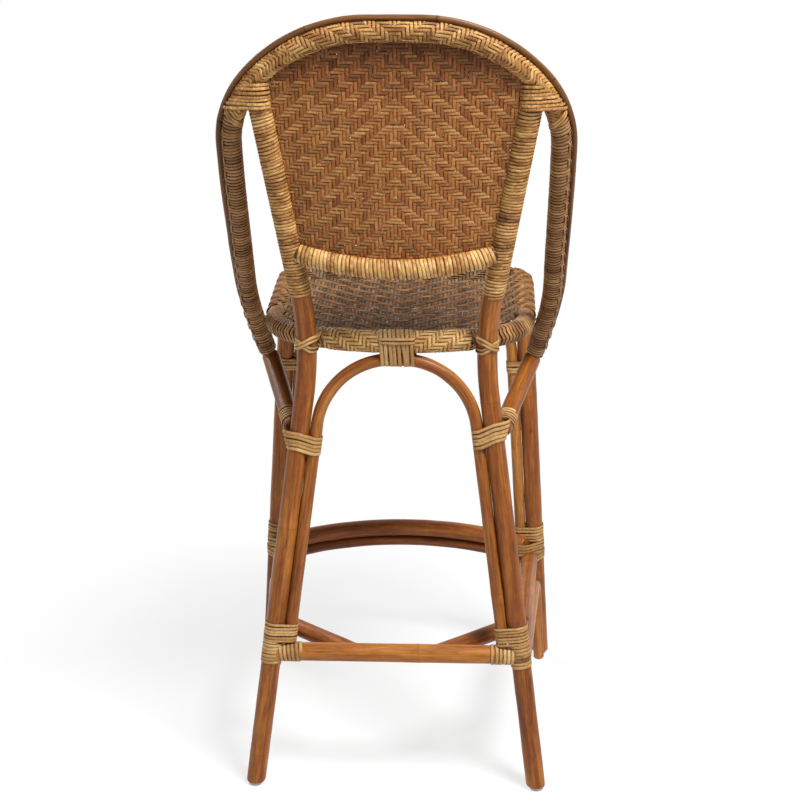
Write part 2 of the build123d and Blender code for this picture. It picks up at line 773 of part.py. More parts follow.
def make_front_lashings(side, hand):
    legs = (*front_legs_room, front_arch_room)

    z = ring_z - front_arch_lashing_drop
    leg, arch = front_leg_at(z, side), arch_leg_at(front_leg_at, z, side)
    axis = front_leg_at(z + 1, side) - leg
    band = lashing(leg, leg_d, arch, arch_d, axis, front_arch_lashing_tall, *legs)
    write(band, f"front_arch_lashing_{hand}")

    for name, z, diameter, tall in (
        ("footrest_lashing", footrest_z, footrest_upper_d, footrest_lashing_tall),
        ("lower_rail_lashing", footrest_lower_z, footrest_lower_d, lower_rail_lashing_tall),
    ):
        leg = front_leg_at(z, side)
        end, _ = footrest_run(z, diameter)
        end = Vector(side * end.X, end.Y, end.Z)
        top = footrest_z - footrest_lashing_tall / 2 - joint_clearance
        middle = min(z, top - tall / 2) if name == "lower_rail_lashing" else z
        drop = Vector(0, 0, middle - z)
        band = lashing(leg + drop, leg_d, end + drop, diameter, (0, 0, 1), tall, *legs,
                       footrest_room, lower_rest_room, side_room[side], runner_room[side])
        write(band, f"{name}_{hand}")


with BuildPart() as seat_panel_block:
    with BuildSketch(Plane.XY.offset(seat_panel_z - joint_clearance)):
        add(seat_outline(0).moved(Location((0, 0, seat_panel_z - ring_z - joint_clearance))))
    extrude(amount=seat_panel_thickness + 2 * joint_clearance)
seat_panel_room = seat_panel_block.part


# -------------------------------------------------------------------------- fittings
def make_fittings():
    with BuildPart() as foot_glides:
        for side in (1, -1):
            for foot in (rear_leg_run(side)[0], front_leg_run(side)[0]):
                with BuildSketch(Plane.XY):
                    with Locations((foot.X, foot.Y)):
                        Circle(glide_d / 2)
                extrude(amount=glide_thickness - joint_clearance)
    write(foot_glides, "foot_glides")
    write(frame_screws, "frame_screws")


hands = ((1, "left"), (-1, "right"))
for side, hand in hands:
    make_post_wraps(side, hand)
make_back()
make_seat()
make_arches()
make_middle_rails()
for side, hand in hands:
    make_legs(side, hand)
    make_side_rails(side, hand)
    make_rear_lashings(side, hand)
    make_front_lashings(side, hand)
make_fittings()
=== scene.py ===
import math
import bpy
import numpy as np
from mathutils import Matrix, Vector


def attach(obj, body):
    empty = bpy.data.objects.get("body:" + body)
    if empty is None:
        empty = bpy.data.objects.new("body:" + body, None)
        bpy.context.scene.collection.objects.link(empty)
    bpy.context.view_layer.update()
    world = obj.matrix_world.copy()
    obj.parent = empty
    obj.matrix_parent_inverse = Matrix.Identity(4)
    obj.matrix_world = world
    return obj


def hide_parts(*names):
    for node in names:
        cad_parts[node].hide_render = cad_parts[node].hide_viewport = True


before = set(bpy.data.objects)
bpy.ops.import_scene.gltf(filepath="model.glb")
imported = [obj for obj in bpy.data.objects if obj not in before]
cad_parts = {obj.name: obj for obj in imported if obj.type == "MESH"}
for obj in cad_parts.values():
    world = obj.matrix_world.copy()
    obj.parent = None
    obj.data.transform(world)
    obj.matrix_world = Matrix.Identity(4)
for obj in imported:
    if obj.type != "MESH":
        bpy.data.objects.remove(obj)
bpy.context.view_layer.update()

# -------- rear legs
# Two thick rattan poles, bent over heat at the seat: below they stand as legs, above they
# lean out as posts that carry the back. Peeled, stained warm brown and varnished satin, then
# screwed and tied to the seat's ring.
both_hands = ((1, "left"), (-1, "right"))
leg_radius, glide_top = 0.015, 0.004
ring_z = 0.70995                          # the seat's ring, where the rear legs bend
rear_foot, knee, post_top = (0.223, 0.251, -0.004), (0.128, 0.176, ring_z), (0.191, 0.243, 1.0907)
knee_bend = 0.4


def unit(way):
    return way / np.linalg.norm(way, axis=-1, keepdims=True)


def bent_run(corners, bends, step=0.004):
    """Points along straight runs joined by bends of the given radii."""
    corners = [np.array(c, float) for c in corners]
    run = [corners[0]]
    for before, corner, after, radius in zip(corners, corners[1:], corners[2:], bends):
        back, on = unit(before - corner), unit(after - corner)
        half = math.acos(np.clip(back @ on, -1, 1)) / 2
        centre = corner + unit(back + on) * radius / math.sin(half)
        start = corner + back * radius / math.tan(half) - centre
        end = corner + on * radius / math.tan(half) - centre
        turn = math.pi - 2 * half
        for share in np.linspace(0, 1, max(3, int(radius * turn / step))):
            run.append(centre + (start * math.sin((1 - share) * turn)
                                 + end * math.sin(share * turn)) / math.sin(turn))
    return np.array(run + [corners[-1]])


def lines(name, strands, **fields):
    """Bare lines of points, with what each point carries, for a node tree to build on."""
    mesh = bpy.data.meshes.new(name)
    counts = [len(s) for s in strands]
    first = np.concatenate([[0], np.cumsum(counts)[:-1]])
    edges = [(a + k, a + k + 1) for a, n in zip(first, counts) for k in range(n - 1)]
    mesh.from_pydata(np.vstack(strands).tolist(), edges, [])
    for field, values in fields.items():
        values = np.concatenate([np.broadcast_to(v, (n,) + np.shape(v)[1:])
                                 for v, n in zip(values, counts)])
        kind, part = ("FLOAT_VECTOR", "vector") if values.ndim == 2 else ("FLOAT", "value")
        held = mesh.attributes.new(field, kind, "POINT")
        held.data.foreach_set(part, np.asarray(values, np.float32).ravel())
    piece = bpy.data.objects.new(name, mesh)
    bpy.context.scene.collection.objects.link(piece)
    return piece


class Given:
    """What a node gives. Sums are written with it as they are with plain numbers."""

    def __init__(self, tree, socket):
        self.tree, self.socket = tree, socket

    def reckoned(self, operation, *others):
        return add(self.tree, "ShaderNodeMath", self, *others, operation=operation)

    def __add__(self, other):
        return self.reckoned("ADD", other)

    def __sub__(self, other):
        return self.reckoned("SUBTRACT", other)

    def __rsub__(self, other):
        return add(self.tree, "ShaderNodeMath", other, self, operation="SUBTRACT")

    def __mul__(self, other):
        return self.reckoned("MULTIPLY", other)

    def __truediv__(self, other):
        return self.reckoned("DIVIDE", other)

    def __abs__(self):
        return self.reckoned("ABSOLUTE")

    def ranged(self, low, high, to_low, to_high):
        """Eased from one span of values to another."""
        return add(self.tree, "ShaderNodeMapRange", self, low, high, to_low, to_high,
                   interpolation_type="SMOOTHSTEP")

    def parts(self):
        """The three numbers of a place or a way."""
        split = add(self.tree, "ShaderNodeSeparateXYZ", self).socket.node
        return [Given(self.tree, socket) for socket in split.outputs]


def fill(node, inputs):
    """Fills a node's inputs, by name or number, with values or what other nodes give."""
    for place, value in inputs.items():
        if isinstance(value, Given):
            value.tree.links.new(value.socket, node.inputs[place])
        elif value is not None:
            node.inputs[place].default_value = value


def add(tree, kind, *inputs, output=0, named=None, **settings):
    """What a new node gives, from its settings and its inputs in order or by name."""
    node = tree.nodes.new(kind)
    for setting, value in settings.items():
        setattr(node, setting, value)
    fill(node, dict(enumerate(inputs)))
    fill(node, named or {})
    return Given(tree, node.outputs[output])


def combine(operation, first, *rest, **named):
    """A sum on places and ways."""
    return add(first.tree, "ShaderNodeVectorMath", first, *rest, named=named, operation=operation)


def drift(place, scale, detail=2.0):
    """A value that wanders about a half, along a line."""
    return add(place.tree, "ShaderNodeTexNoise", None, place, scale, detail,
               noise_dimensions="1D")


def keep(line, name, value, kind="FLOAT"):
    return add(line.tree, "GeometryNodeStoreNamedAttribute", line, True, name, value,
               data_type=kind)


def new_tree(name, *sizes):
    """A tree that takes lines, those sizes and a finish, and gives a piece."""
    tree = bpy.data.node_groups.new(name, "GeometryNodeTree")
    kinds = {"Geometry": "Geometry", "Finish": "Material"}
    for label in ("Geometry", *sizes, "Finish"):
        tree.interface.new_socket(label, in_out="INPUT",
                                  socket_type="NodeSocket" + kinds.get(label, "Float"))
    tree.interface.new_socket("Geometry", in_out="OUTPUT", socket_type="NodeSocketGeometry")
    given = {s.name: Given(tree, s) for s in tree.nodes.new("NodeGroupInput").outputs}
    return tree, given, tree.nodes.new("NodeGroupOutput")


def swept(line, around, thick, wide, scale, look, out):
    """Draws an oval section along the line, closed at both ends, in plain faces."""
    tree = line.tree
    place = add(tree, "GeometryNodeInputPosition")
    ring = add(tree, "GeometryNodeCurvePrimitiveCircle", around)
    ring = keep(ring, "ring", place, "FLOAT_VECTOR")
    oval = add(tree, "ShaderNodeCombineXYZ", thick * 0.5, wide * 0.5, 0.0)
    ring = add(tree, "GeometryNodeSetPosition", ring, True, combine("MULTIPLY", place, oval))
    body = add(tree, "GeometryNodeCurveToMesh", line, ring, scale, True)
    edges = add(tree, "GeometryNodeInputMeshFaceNeighbors")
    four_sided = add(tree, "FunctionNodeCompare", named={2: edges, 3: 5}, data_type="INT",
                     operation="LESS_THAN")
    body = add(tree, "GeometryNodeSetShadeSmooth", body, four_sided)
    body = add(tree, "GeometryNodeRealizeInstances", body)
    fill(out, {0: add(tree, "GeometryNodeSetMaterial", body, True, look)})


def pole_tree():
    """A pole on its centre line, swollen a little at its growth rings, with eased ends."""
    tree, given, out = new_tree("cane_pole", "Radius", "Ring Gap", "Ring Height", "Seed",
                                "Eased End", "Tone")
    line = add(tree, "GeometryNodeMeshToCurve", given["Geometry"])
    line = add(tree, "GeometryNodeResampleCurve", line, True, 10, 0.0025, mode="LENGTH")
    along = add(tree, "GeometryNodeSplineParameter", output="Length")
    whole = add(tree, "GeometryNodeSplineLength", output="Length")
    seeded = along + given["Seed"] * 3.17
    wander = (drift(seeded, 3.0) - 0.5) * 0.16
    turns = (seeded + wander) / given["Ring Gap"]
    off_knot = (turns.reckoned("FRACT") - 0.5) * given["Ring Gap"]
    ridge = abs(off_knot).ranged(0.0, 0.0045, 1.0, 0.0)
    broad = abs(off_knot).ranged(0.0, 0.028, 1.0, 0.0)
    swell = given["Ring Height"] * (ridge * 0.55 + broad * 0.45)
    uneven = (drift(seeded, 14.0) - 0.5) * 0.0009
    from_end = along.reckoned("MINIMUM", whole - along)
    missing = 1.0 - add(tree, "ShaderNodeClamp", from_end / given["Eased End"])
    dip = 1.0 - (1.0 - missing * missing).reckoned("SQRT")
    radius = given["Radius"] + swell + uneven - dip * given["Eased End"]
    for name, value in (("along", seeded), ("off_knot", off_knot), ("tone", given["Tone"])):
        line = keep(line, name, value)
    swept(line, 24, 2.0, 2.0, radius, given["Finish"], out)
    return tree


def built(name, strands, tree, fields=None, **sizes):
    """Runs the tree on the strands and keeps the outcome as a plain mesh."""
    piece = lines(name, strands, **(fields or {}))
    maker = piece.modifiers.new("maker", "NODES")
    maker.node_group = tree
    sockets = {s.name: s.identifier for s in tree.interface.items_tree if s.in_out == "INPUT"}
    for label, value in sizes.items():
        maker[sockets[label.replace("_", " ").title()]] = value
    ready = piece.evaluated_get(bpy.context.evaluated_depsgraph_get())
    mesh = bpy.data.meshes.new_from_object(ready)
    mesh.name = name
    piece.modifiers.remove(maker)
    piece.data = mesh
    return piece


def finish(name):
    material = bpy.data.materials.new(name)
    material.use_nodes = True
    tree = material.node_tree
    return material, tree, tree.nodes["Principled BSDF"]


def paint(chart):
    """A colour as a paint chart gives it, 0 to 255, in a shader's own values."""
    shares = (shade / 255 for shade in chart)
    return (*(share / 12.92 if share <= 0.04045 else ((share + 0.055) / 1.055) ** 2.4
              for share in shares), 1.0)


def colour_steps(value, steps):
    """A colour for the value, mixed between the steps."""
    colour = add(value.tree, "ShaderNodeValToRGB", value)
    band = colour.socket.node.color_ramp
    while len(band.elements) < len(steps):
        band.elements.new(0.5)
    for element, (place, chart) in zip(band.elements, steps):
        element.position, element.color = place, paint(chart)
    return colour


def shaded(colour, *factors):
    """The colour times each grey factor."""
    for factor in factors:
        colour = add(colour.tree, "ShaderNodeMix", output=2, named={0: 1.0, 6: colour, 7: factor},
                     data_type="RGBA", blend_type="MULTIPLY")
    return colour


def cloud(place, stretch, detail=4.0, rough=0.6, warp=0.0):
    """Cloudy values about a half, over a place stretched by three factors."""
    return add(place.tree, "ShaderNodeTexNoise", combine("MULTIPLY", place, stretch), None, 1.0,
               detail, rough, named={"Distortion": warp})


def carried(tree, name, output="Fac"):
    return add(tree, "ShaderNodeAttribute", output=output, attribute_name=name)


def relief(height, strength, deep):
    return add(height.tree, "ShaderNodeBump",
               named={"Strength": strength, "Distance": deep, "Height": height})


def pole_finish(name, deep, middle, pale, scars=0.86):
    """Varnished rattan skin: streaks along the pole, scars at its rings, small specks."""
    material, tree, skin = finish(name)
    x, y, _ = carried(tree, "ring", "Vector").parts()
    place = add(tree, "ShaderNodeCombineXYZ", x, y, carried(tree, "along"))
    broad = cloud(place, (0.9, 0.9, 5.0), 3.0)
    streak = cloud(place, (4.5, 4.5, 9.0), 6.0, 0.62, 0.2)
    fibre = cloud(place, (26.0, 26.0, 34.0), 4.0, 0.72)
    mottle = cloud(place, (2.4, 2.4, 38.0), 4.0, 0.62, 0.7)
    blotch = cloud(place, (1.6, 1.6, 22.0), 3.0, 0.55, 0.6)
    speck = add(tree, "ShaderNodeTexVoronoi", combine("MULTIPLY", place, (5.0, 5.0, 110.0)))
    off_knot = carried(tree, "off_knot") + (streak - 0.5) * 0.004
    scar = abs(off_knot + 0.0012).ranged(0.0002, 0.0022, scars, 1.0)
    halo = abs(off_knot - 0.006).ranged(0.0, 0.012, 1.1, 1.0)
    value = broad * 0.75 + streak * 0.45 + carried(tree, "tone") * 0.5 - 0.36
    colour = colour_steps(value, [(0.2, deep), (0.46, middle), (0.74, pale)])
    colour = shaded(colour, fibre.ranged(0.3, 0.7, 0.8, 1.1), mottle.ranged(0.34, 0.62, 0.8, 1.06),
                    blotch.ranged(0.58, 0.74, 1.0, 0.62), speck.ranged(0.05, 0.16, 0.55, 1.0),
                    scar, halo)
    fill(skin, {"Base Color": colour, "Roughness": fibre.ranged(0.3, 0.75, 0.33, 0.52),
                "Normal": relief(fibre * 0.6 + streak - (1.0 - scar), 0.35, 0.0005),
                "Specular IOR Level": 0.22, "Coat Weight": 0.08, "Coat Roughness": 0.25})
    return material


cane_pole = pole_tree()
brown_pole = pole_finish("brown_pole", (72, 30, 9), (138, 75, 25), (190, 122, 50))


def settled(piece, node):
    """The piece belongs to the frame and stands for its plain CAD shape."""
    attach(piece, "root")
    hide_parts(node)


def sawn_level(piece, run, height, ease=0.004):
    """Saws a leg's foot level at that height and eases its edge."""
    way = unit(run[1] - run[0])
    spots = np.zeros(len(piece.data.vertices) * 3)
    piece.data.vertices.foreach_get("co", spots)
    spots = spots.reshape(-1, 3)
    low = spots[:, 2] < height + ease
    z = np.maximum(spots[low, 2], height)
    centre = run[0] + np.outer((z - run[0][2]) / way[2], way)
    apart = (spots[low] - centre) * (1, 1, 0)
    inward = ease * (1 - np.sqrt(1 - (1 - np.clip((z - height) / ease, 0, 1)) ** 2))
    length = np.linalg.norm(apart, axis=1)
    spots[low] = centre + apart * np.clip((length - inward) / length, 0, 1)[:, None]
    spots[low, 2] = z
    piece.data.vertices.foreach_set("co", np.asarray(spots, np.float32).ravel())
    piece.data.update()


def pole(name, node, run, radius, seed, tone=0.5, ring_gap=0.34, ring_height=0.0004,
         look=brown_pole, sawn_at=None):
    """A rattan pole along its run, in its place on the frame."""
    piece = built(name, [run], cane_pole, radius=radius, ring_gap=ring_gap,
                  ring_height=ring_height, seed=float(seed), eased_end=0.002, tone=tone,
                  finish=look)
    if sawn_at is not None:
        sawn_level(piece, run, sawn_at)
    settled(piece, node)


def pole_each_side(name, run, radius, seed, **settings):
    """A pole on the left along its run, and the same one mirrored on the right."""
    for side, hand in both_hands:
        pole(f"{name}_pole_{hand}", f"{name}_{hand}", run * (side, 1, 1), radius, seed + side,
             **settings)


def rear_leg_at(z, side=1):
    """A point on a rear leg's or its post's centre line, at a height."""
    low, high = np.array((rear_foot, knee) if z < ring_z else (knee, post_top))
    return (low + (high - low) * (z - low[2]) / (high[2] - low[2])) * (side, 1, 1)


pole_each_side("rear_leg", bent_run([rear_foot, knee, post_top], [knee_bend]), leg_radius, 3,
               sawn_at=glide_top)

# -------- front legs
# Two straight rattan poles, leaning out toward the floor, coped under the ring of the seat and
# lashed to the front arch and the footrest. Same skin as the rear legs, sawn level at the foot.
front_foot, front_top = np.array((0.248, -0.216, 0)), np.array((0.1998, -0.2042, 0.699))
leg_below, leg_end = -0.004, 0.694        # from just under the floor to inside the ring


def front_leg_at(z, side=1):
    """A point on a front leg's centre line, at a height."""
    return (front_foot + (front_top - front_foot) * z / front_top[2]) * (side, 1, 1)


pole_each_side("front_leg", np.linspace(front_leg_at(leg_below), front_leg_at(leg_end), 60),
               leg_radius, 7, tone=0.52, sawn_at=glide_top)

# -------- arches under the seat
# Two thinner rattan poles steamed round a former, one behind and one in front. Each is bound
# to its legs and passes close under the ring, where the rear one is tied.
thin_pole = pole_finish("thin_pole", (82, 38, 12), (146, 83, 31), (194, 130, 60))
arch_radius = 0.0095
arch_bends = [0.345, 0.115]
rear_arch_hip = np.array((0.1234, 0.192, 0.559))
front_arch_hip = np.array((0.1847, -0.2066, 0.558))
arch_top = np.array((0, 0.1752, 0.6831))  # where the rear arch passes under the ring


def arched(left_side, bends):
    """A run up the left side, over the middle and down the right, bent alike on both."""
    left_side = np.array(left_side, float)
    return bent_run(np.vstack([left_side, (left_side * (-1, 1, 1))[::-1]]), bends + bends[::-1])


rear_arch_run = arched([(0.1660, 0.2256, 0.2408), rear_arch_hip, arch_top + (0.1068, 0, 0)],
                       arch_bends)
front_arch_run = arched([(0.2067, -0.2120, 0.238), front_arch_hip, (0.1759, -0.2138, 0.685)],
                        arch_bends)
pole("rear_arch_pole", "rear_arch", rear_arch_run, arch_radius, 11, ring_gap=0.31, look=thin_pole)
pole("front_arch_pole", "front_arch", front_arch_run, arch_radius, 12, tone=0.75, ring_gap=0.29,
     look=thin_pole)

# -------- stretchers and corner braces
# Straight rattan poles near the floor: one across the back, screwed to the legs, one along
# each side, and a short brace across each rear corner. All are coped to their neighbours.
stretcher_radius, corner_radius = 0.0145, 0.0135
rear_joint, front_joint = np.array((0.1933, 0.2275, 0.222)), (0.2241, -0.2126, 0.201)
corner_ends = (0.062, 0.2275, 0.222), (0.2044, 0.1081, 0.222)
each_side = (("side_stretcher", (rear_joint, front_joint), 90, stretcher_radius, 17, 0.4, 0.34),
             ("corner_brace", corner_ends, 50, corner_radius, 21, 0.35, 0.4))
pole("rear_stretcher_pole", "rear_stretcher", np.linspace(rear_joint, rear_joint * (-1, 1, 1), 80),
     stretcher_radius, 15, tone=0.72)
for side, hand in both_hands:
    for name, ends, count, radius, seed, tone, ring_gap in each_side:
        pole(f"{name}_pole_{hand}", f"{name}_{hand}", np.linspace(*ends, count) * (side, 1, 1),
             radius, seed + side, tone, ring_gap)

# -------- side runners
# A thin rattan pole along each side under the stretcher. It bends down behind the front leg,
# is caught in the lashings there and stands on the floor.
runner_rear, runner_corner, runner_foot = ((0.1998, 0.2062, 0.19), (0.2348, -0.1886, 0.16),
                                           (0.2452, -0.1913, 0.0012))
runner_bend = 0.045
pole_each_side("side_runner", bent_run([runner_rear, runner_corner, runner_foot], [runner_bend]),
               arch_radius, 25, tone=0.6, ring_gap=0.33, look=thin_pole)

# -------- footrest
# A thick rattan pole bowed toward the front, with a thinner one close under it. Both are cut
# square at their ends and lashed to the front legs.
rest_z, under_rest_z, rest_front_y = 0.226, 0.2012, -0.261
rest_end, under_rest_end = (0.2157, -0.1866), (0.2133, -0.1867)


def bow(end, middle_y, z, count=120):
    """A level arc from an end through the middle to the mirrored end."""
    rise = end[1] - middle_y
    radius = (end[0] ** 2 + rise ** 2) / (2 * rise)
    turns = math.asin(end[0] / radius) * np.linspace(1, -1, count)
    return np.column_stack([radius * np.sin(turns), middle_y + radius * (1 - np.cos(turns)),
                            np.full(count, z)])


pole("footrest_pole", "footrest_upper", bow(rest_end, rest_front_y, rest_z), leg_radius, 31,
     tone=0.45, ring_gap=0.24)
pole("footrest_under_pole", "footrest_lower", bow(under_rest_end, rest_front_y, under_rest_z),
     arch_radius, 32, tone=0.3, ring_gap=0.3)

# -------- braces of the hoop
# Each lower end of the hoop is propped by a stout straight rattan pole. It runs down and back
# to the rear leg, where it is screwed on and strands are wound round it.
brace_radius = 0.014
brace_front, brace_rear = np.array((0.208, 0.011, 0.636)), np.array((0.1612, 0.1651, 0.578))
brace_way = unit(brace_rear - brace_front)
past_front, past_rear = 0.001, 0.012      # so far it runs on, into the hoop and the leg
pole_each_side("hoop_brace", np.linspace(brace_front - brace_way * past_front,
                                         brace_rear + brace_way * past_rear, 60),
               brace_radius, 35, tone=0.4)

# -------- rim of the hoop
# A bare thin rattan pole that follows the hoop all the way round, outside it at the crown and
# toward its front lower down. It is pinned on and left without any winding.
rim_radius = 0.0041
side_bends = [0.42, 0.42, 0.42]
olive_pole = pole_finish("olive_pole", (58, 34, 15), (128, 82, 38), (182, 126, 66), scars=0.35)
rim_run = arched([(0.2216, -0.0106, 0.6317), (0.2491, 0.0508, 0.7464), (0.2495, 0.1166, 0.8363),
                  (0.2504, 0.1827, 0.9494), (0.2497, 0.2345, 1.0741), (0.1298, 0.2660, 1.1886)],
                 side_bends + [0.1698, 0.2348])
pole("hoop_rim_pole", "hoop_rim", rim_run, rim_radius, 41, tone=0.28, ring_gap=0.19,
     ring_height=0.0003, look=olive_pole)

# -------- winding on the hoop
# The hoop is a stout rattan pole screwed to the seat's ring and hidden under split cane wound
# turn against turn. Two long strands run down its outer side, over and under a few turns at a
# time, to lock the winding.
hoop_pole_radius, cane_thick = 0.01325, 0.0015
hoop_run = arched([(0.213, 0.013, 0.649), (0.234, 0.061, 0.7419), (0.232, 0.122, 0.8329),
                   (0.232, 0.185, 0.9482), (0.231, 0.232, 1.0667), (0.122, 0.261, 1.1707)],
                  side_bends + [0.15, 0.215])
hoop_pitch, shoulder_pitch = 0.0051, 0.0054
woven_half, shoulder_half = 0.148, 0.275  # along the hoop from the middle of its crown
runner_angles, runner_wide, runner_swing = (8, 42), 0.0046, 0.0245


def faced_out(line):
    """The line with its section turned to face the way each point was given."""
    outward = add(line.tree, "GeometryNodeInputNamedAttribute", "out", data_type="FLOAT_VECTOR")
    return add(line.tree, "GeometryNodeSetCurveNormal", line, True, named={"Normal": outward},
               mode="FREE")


def winding_tree():
    """One strand wound round and round a line, each turn against the last."""
    tree, given, out = new_tree("cane_winding", "Radius", "Pitch", "Wide", "Thick", "Wave",
                                "Waves", "Lean", "Seed", "Tone")
    line = add(tree, "GeometryNodeMeshToCurve", given["Geometry"])
    turns = add(tree, "GeometryNodeCurveLength", line) / given["Pitch"]
    points = (turns * 22.0).reckoned("CEIL")
    line = add(tree, "GeometryNodeResampleCurve", line, True, points, mode="COUNT")
    turn = add(tree, "GeometryNodeSplineParameter", output="Length") / given["Pitch"]
    last_turn = add(tree, "GeometryNodeSplineLength", output="Length") / given["Pitch"]
    seeded = turn + given["Seed"] * 97.0
    angle = turn * (2 * math.pi)
    normal, way = add(tree, "GeometryNodeInputNormal"), add(tree, "GeometryNodeInputTangent")
    aside = combine("CROSS_PRODUCT", way, normal)
    outward = combine("ADD", combine("SCALE", normal, Scale=angle.reckoned("COSINE")),
                      combine("SCALE", aside, Scale=angle.reckoned("SINE")))
    rough = (drift(seeded, 1.7) - 0.5) * 0.0009
    from_end = turn.reckoned("MINIMUM", last_turn - turn)
    tuck = given["Thick"] * from_end.ranged(0.0, 0.16, 1.3, 0.0)
    radius = given["Radius"] + rough - tuck
    wander = (drift(seeded, 0.9) - 0.5) * (given["Pitch"] * 0.35)
    tilt = (angle + drift(seeded, 0.05) * 9.0).reckoned("COSINE") * given["Lean"]
    strayed = turn + drift(seeded, 0.06) * 0.14
    zigzag = (strayed.reckoned("FRACT") * given["Waves"]).reckoned("PINGPONG", 0.5)
    zigzag = zigzag.ranged(0.0, 0.5, -1.0, 1.0) * given["Wave"]
    offset = combine("ADD", combine("SCALE", outward, Scale=radius),
                     combine("SCALE", way, Scale=wander + tilt + zigzag))
    line = keep(line, "out", outward, "FLOAT_VECTOR")
    line = keep(line, "along", seeded * 0.09)
    line = keep(line, "tone", given["Tone"] + (drift(seeded, 0.22, 3.0) - 0.5) * 1.3)
    line = add(tree, "GeometryNodeSetPosition", line, True, None, offset)
    swept(faced_out(line), 8, given["Thick"], given["Wide"], 1.0, given["Finish"], out)
    return tree


def laid_tree():
    """Strands laid on given lines, each turned flat against what it lies on."""
    tree, given, out = new_tree("laid_cane", "Wide", "Thick")
    line = add(tree, "GeometryNodeMeshToCurve", given["Geometry"])
    along = add(tree, "GeometryNodeSplineParameter", output="Length")
    along = along + add(tree, "GeometryNodeInputNamedAttribute", "tone") * 7.3
    line = keep(line, "along", along)
    along = add(tree, "GeometryNodeInputNamedAttribute", "along")
    uneven = drift(along, 25.0) * 0.1 + 0.94
    swept(faced_out(line), 8, given["Thick"], given["Wide"], uneven, given["Finish"], out)
    return tree


def cane_finish(name, deep, middle, pale, rough=0.5, wear=0.5, gloss=0.25, edges=0.3):
    """Split cane: pale glossy skin with long fibres, with painted shade along both cut edges of
    each strand, as deep as edges gives, and on its underside.
    """
    material, tree, skin = finish(name)
    height, across, _ = carried(tree, "ring", "Vector").parts()
    along, tone = carried(tree, "along"), carried(tree, "tone")
    place = add(tree, "ShaderNodeCombineXYZ", across * 3.0, along * 55.0, tone * 40.0)
    fibre = cloud(place, (2.2, 0.35, 1.0), 4.0, 0.65)
    patch = cloud(place, (0.15, 0.9, 1.0))
    stain = cloud(place, (0.3, 3.1, 1.0), 3.0)
    value = tone * 0.75 + (patch - 0.5) * (1.5 * wear) + 0.12
    colour = colour_steps(value, [(0.1, deep), (0.5, middle), (0.9, pale)])
    # painted shade: darker along the strand's edges, where it meets its neighbours, and on its
    # underside, where it lies against what it wraps
    colour = shaded(colour, fibre.ranged(0.28, 0.7, 0.78, 1.1), stain.ranged(0.62, 0.75, 1.0, 0.55),
                    abs(across).ranged(0.45, 1.0, 1.0, edges), height.ranged(-0.6, 0.2, 0.45, 1.0))
    fill(skin, {"Base Color": colour, "Specular IOR Level": gloss,
                "Roughness": fibre.ranged(0.3, 0.7, rough - 0.08, rough + 0.14),
                "Normal": relief(fibre + patch * 0.5, 0.4, 0.0003)})
    return material


cane_winding, laid_cane = winding_tree(), laid_tree()
# edges sets how dark the painted shade along each strand's edges is
straw_cane = cane_finish("straw_cane", (92, 50, 20), (180, 127, 68), (228, 186, 120),
                         wear=0.95, edges=0.38)
hoop_cane = cane_finish("hoop_cane", (86, 52, 26), (152, 106, 62), (196, 154, 104))


def wound(name, node, run, radius, pitch, look, seed, tone=0.5, wave=0.0, waves=0.0, lean=0.0008,
          fill_up=0.95):
    """A strand wound along a run, on a bare pole of that radius."""
    piece = built(name, [run], cane_winding, radius=radius + cane_thick * 0.5, pitch=pitch,
                  wide=pitch * fill_up, thick=cane_thick, wave=wave, waves=waves, lean=lean,
                  seed=float(seed), tone=tone, finish=look)
    settled(piece, node)


def laid(name, node, strands, outs, tones, wide, look, thick=0.0012):
    """Strands laid on lines, with the way each one faces and its tone, 0 deep to 1 pale."""
    piece = built(name, strands, laid_cane, {"out": outs, "tone": tones}, wide=wide, thick=thick,
                  finish=look)
    settled(piece, node)


def lengths(run):
    """How far along the run each of its points is."""
    return np.concatenate([[0], np.cumsum(np.linalg.norm(np.diff(run, axis=0), axis=1))])


def at_lengths(run, s, borne=None):
    """Places at lengths along a run, or what it bears there."""
    own = lengths(run)
    return np.stack([np.interp(s, own, part) for part in (run if borne is None else borne).T], 1)


def stretch(run, start, end, step=0.004):
    """The part of a run between two lengths."""
    return at_lengths(run, np.linspace(start, end, max(2, int((end - start) / step))))


def hoop_frame(s):
    """Places at lengths along the hoop, with the outward and backward ways there."""
    way = unit(at_lengths(hoop_run, s + 0.002) - at_lengths(hoop_run, s - 0.002))
    back = unit(np.array((0, 1.0, 0)) - way * way[:, 1:2])
    return at_lengths(hoop_run, s), np.cross(back, way), back


def round_pole(frame_at, s, angle, away):
    """A strand round a pole's line, so far off it at those angles, and its outward ways."""
    spot, outward, back = frame_at(s)
    angle, away = (np.broadcast_to(value, s.shape)[:, None] for value in (angle, away))
    lie = outward * np.cos(angle) + back * np.sin(angle)
    return spot + lie * away, lie


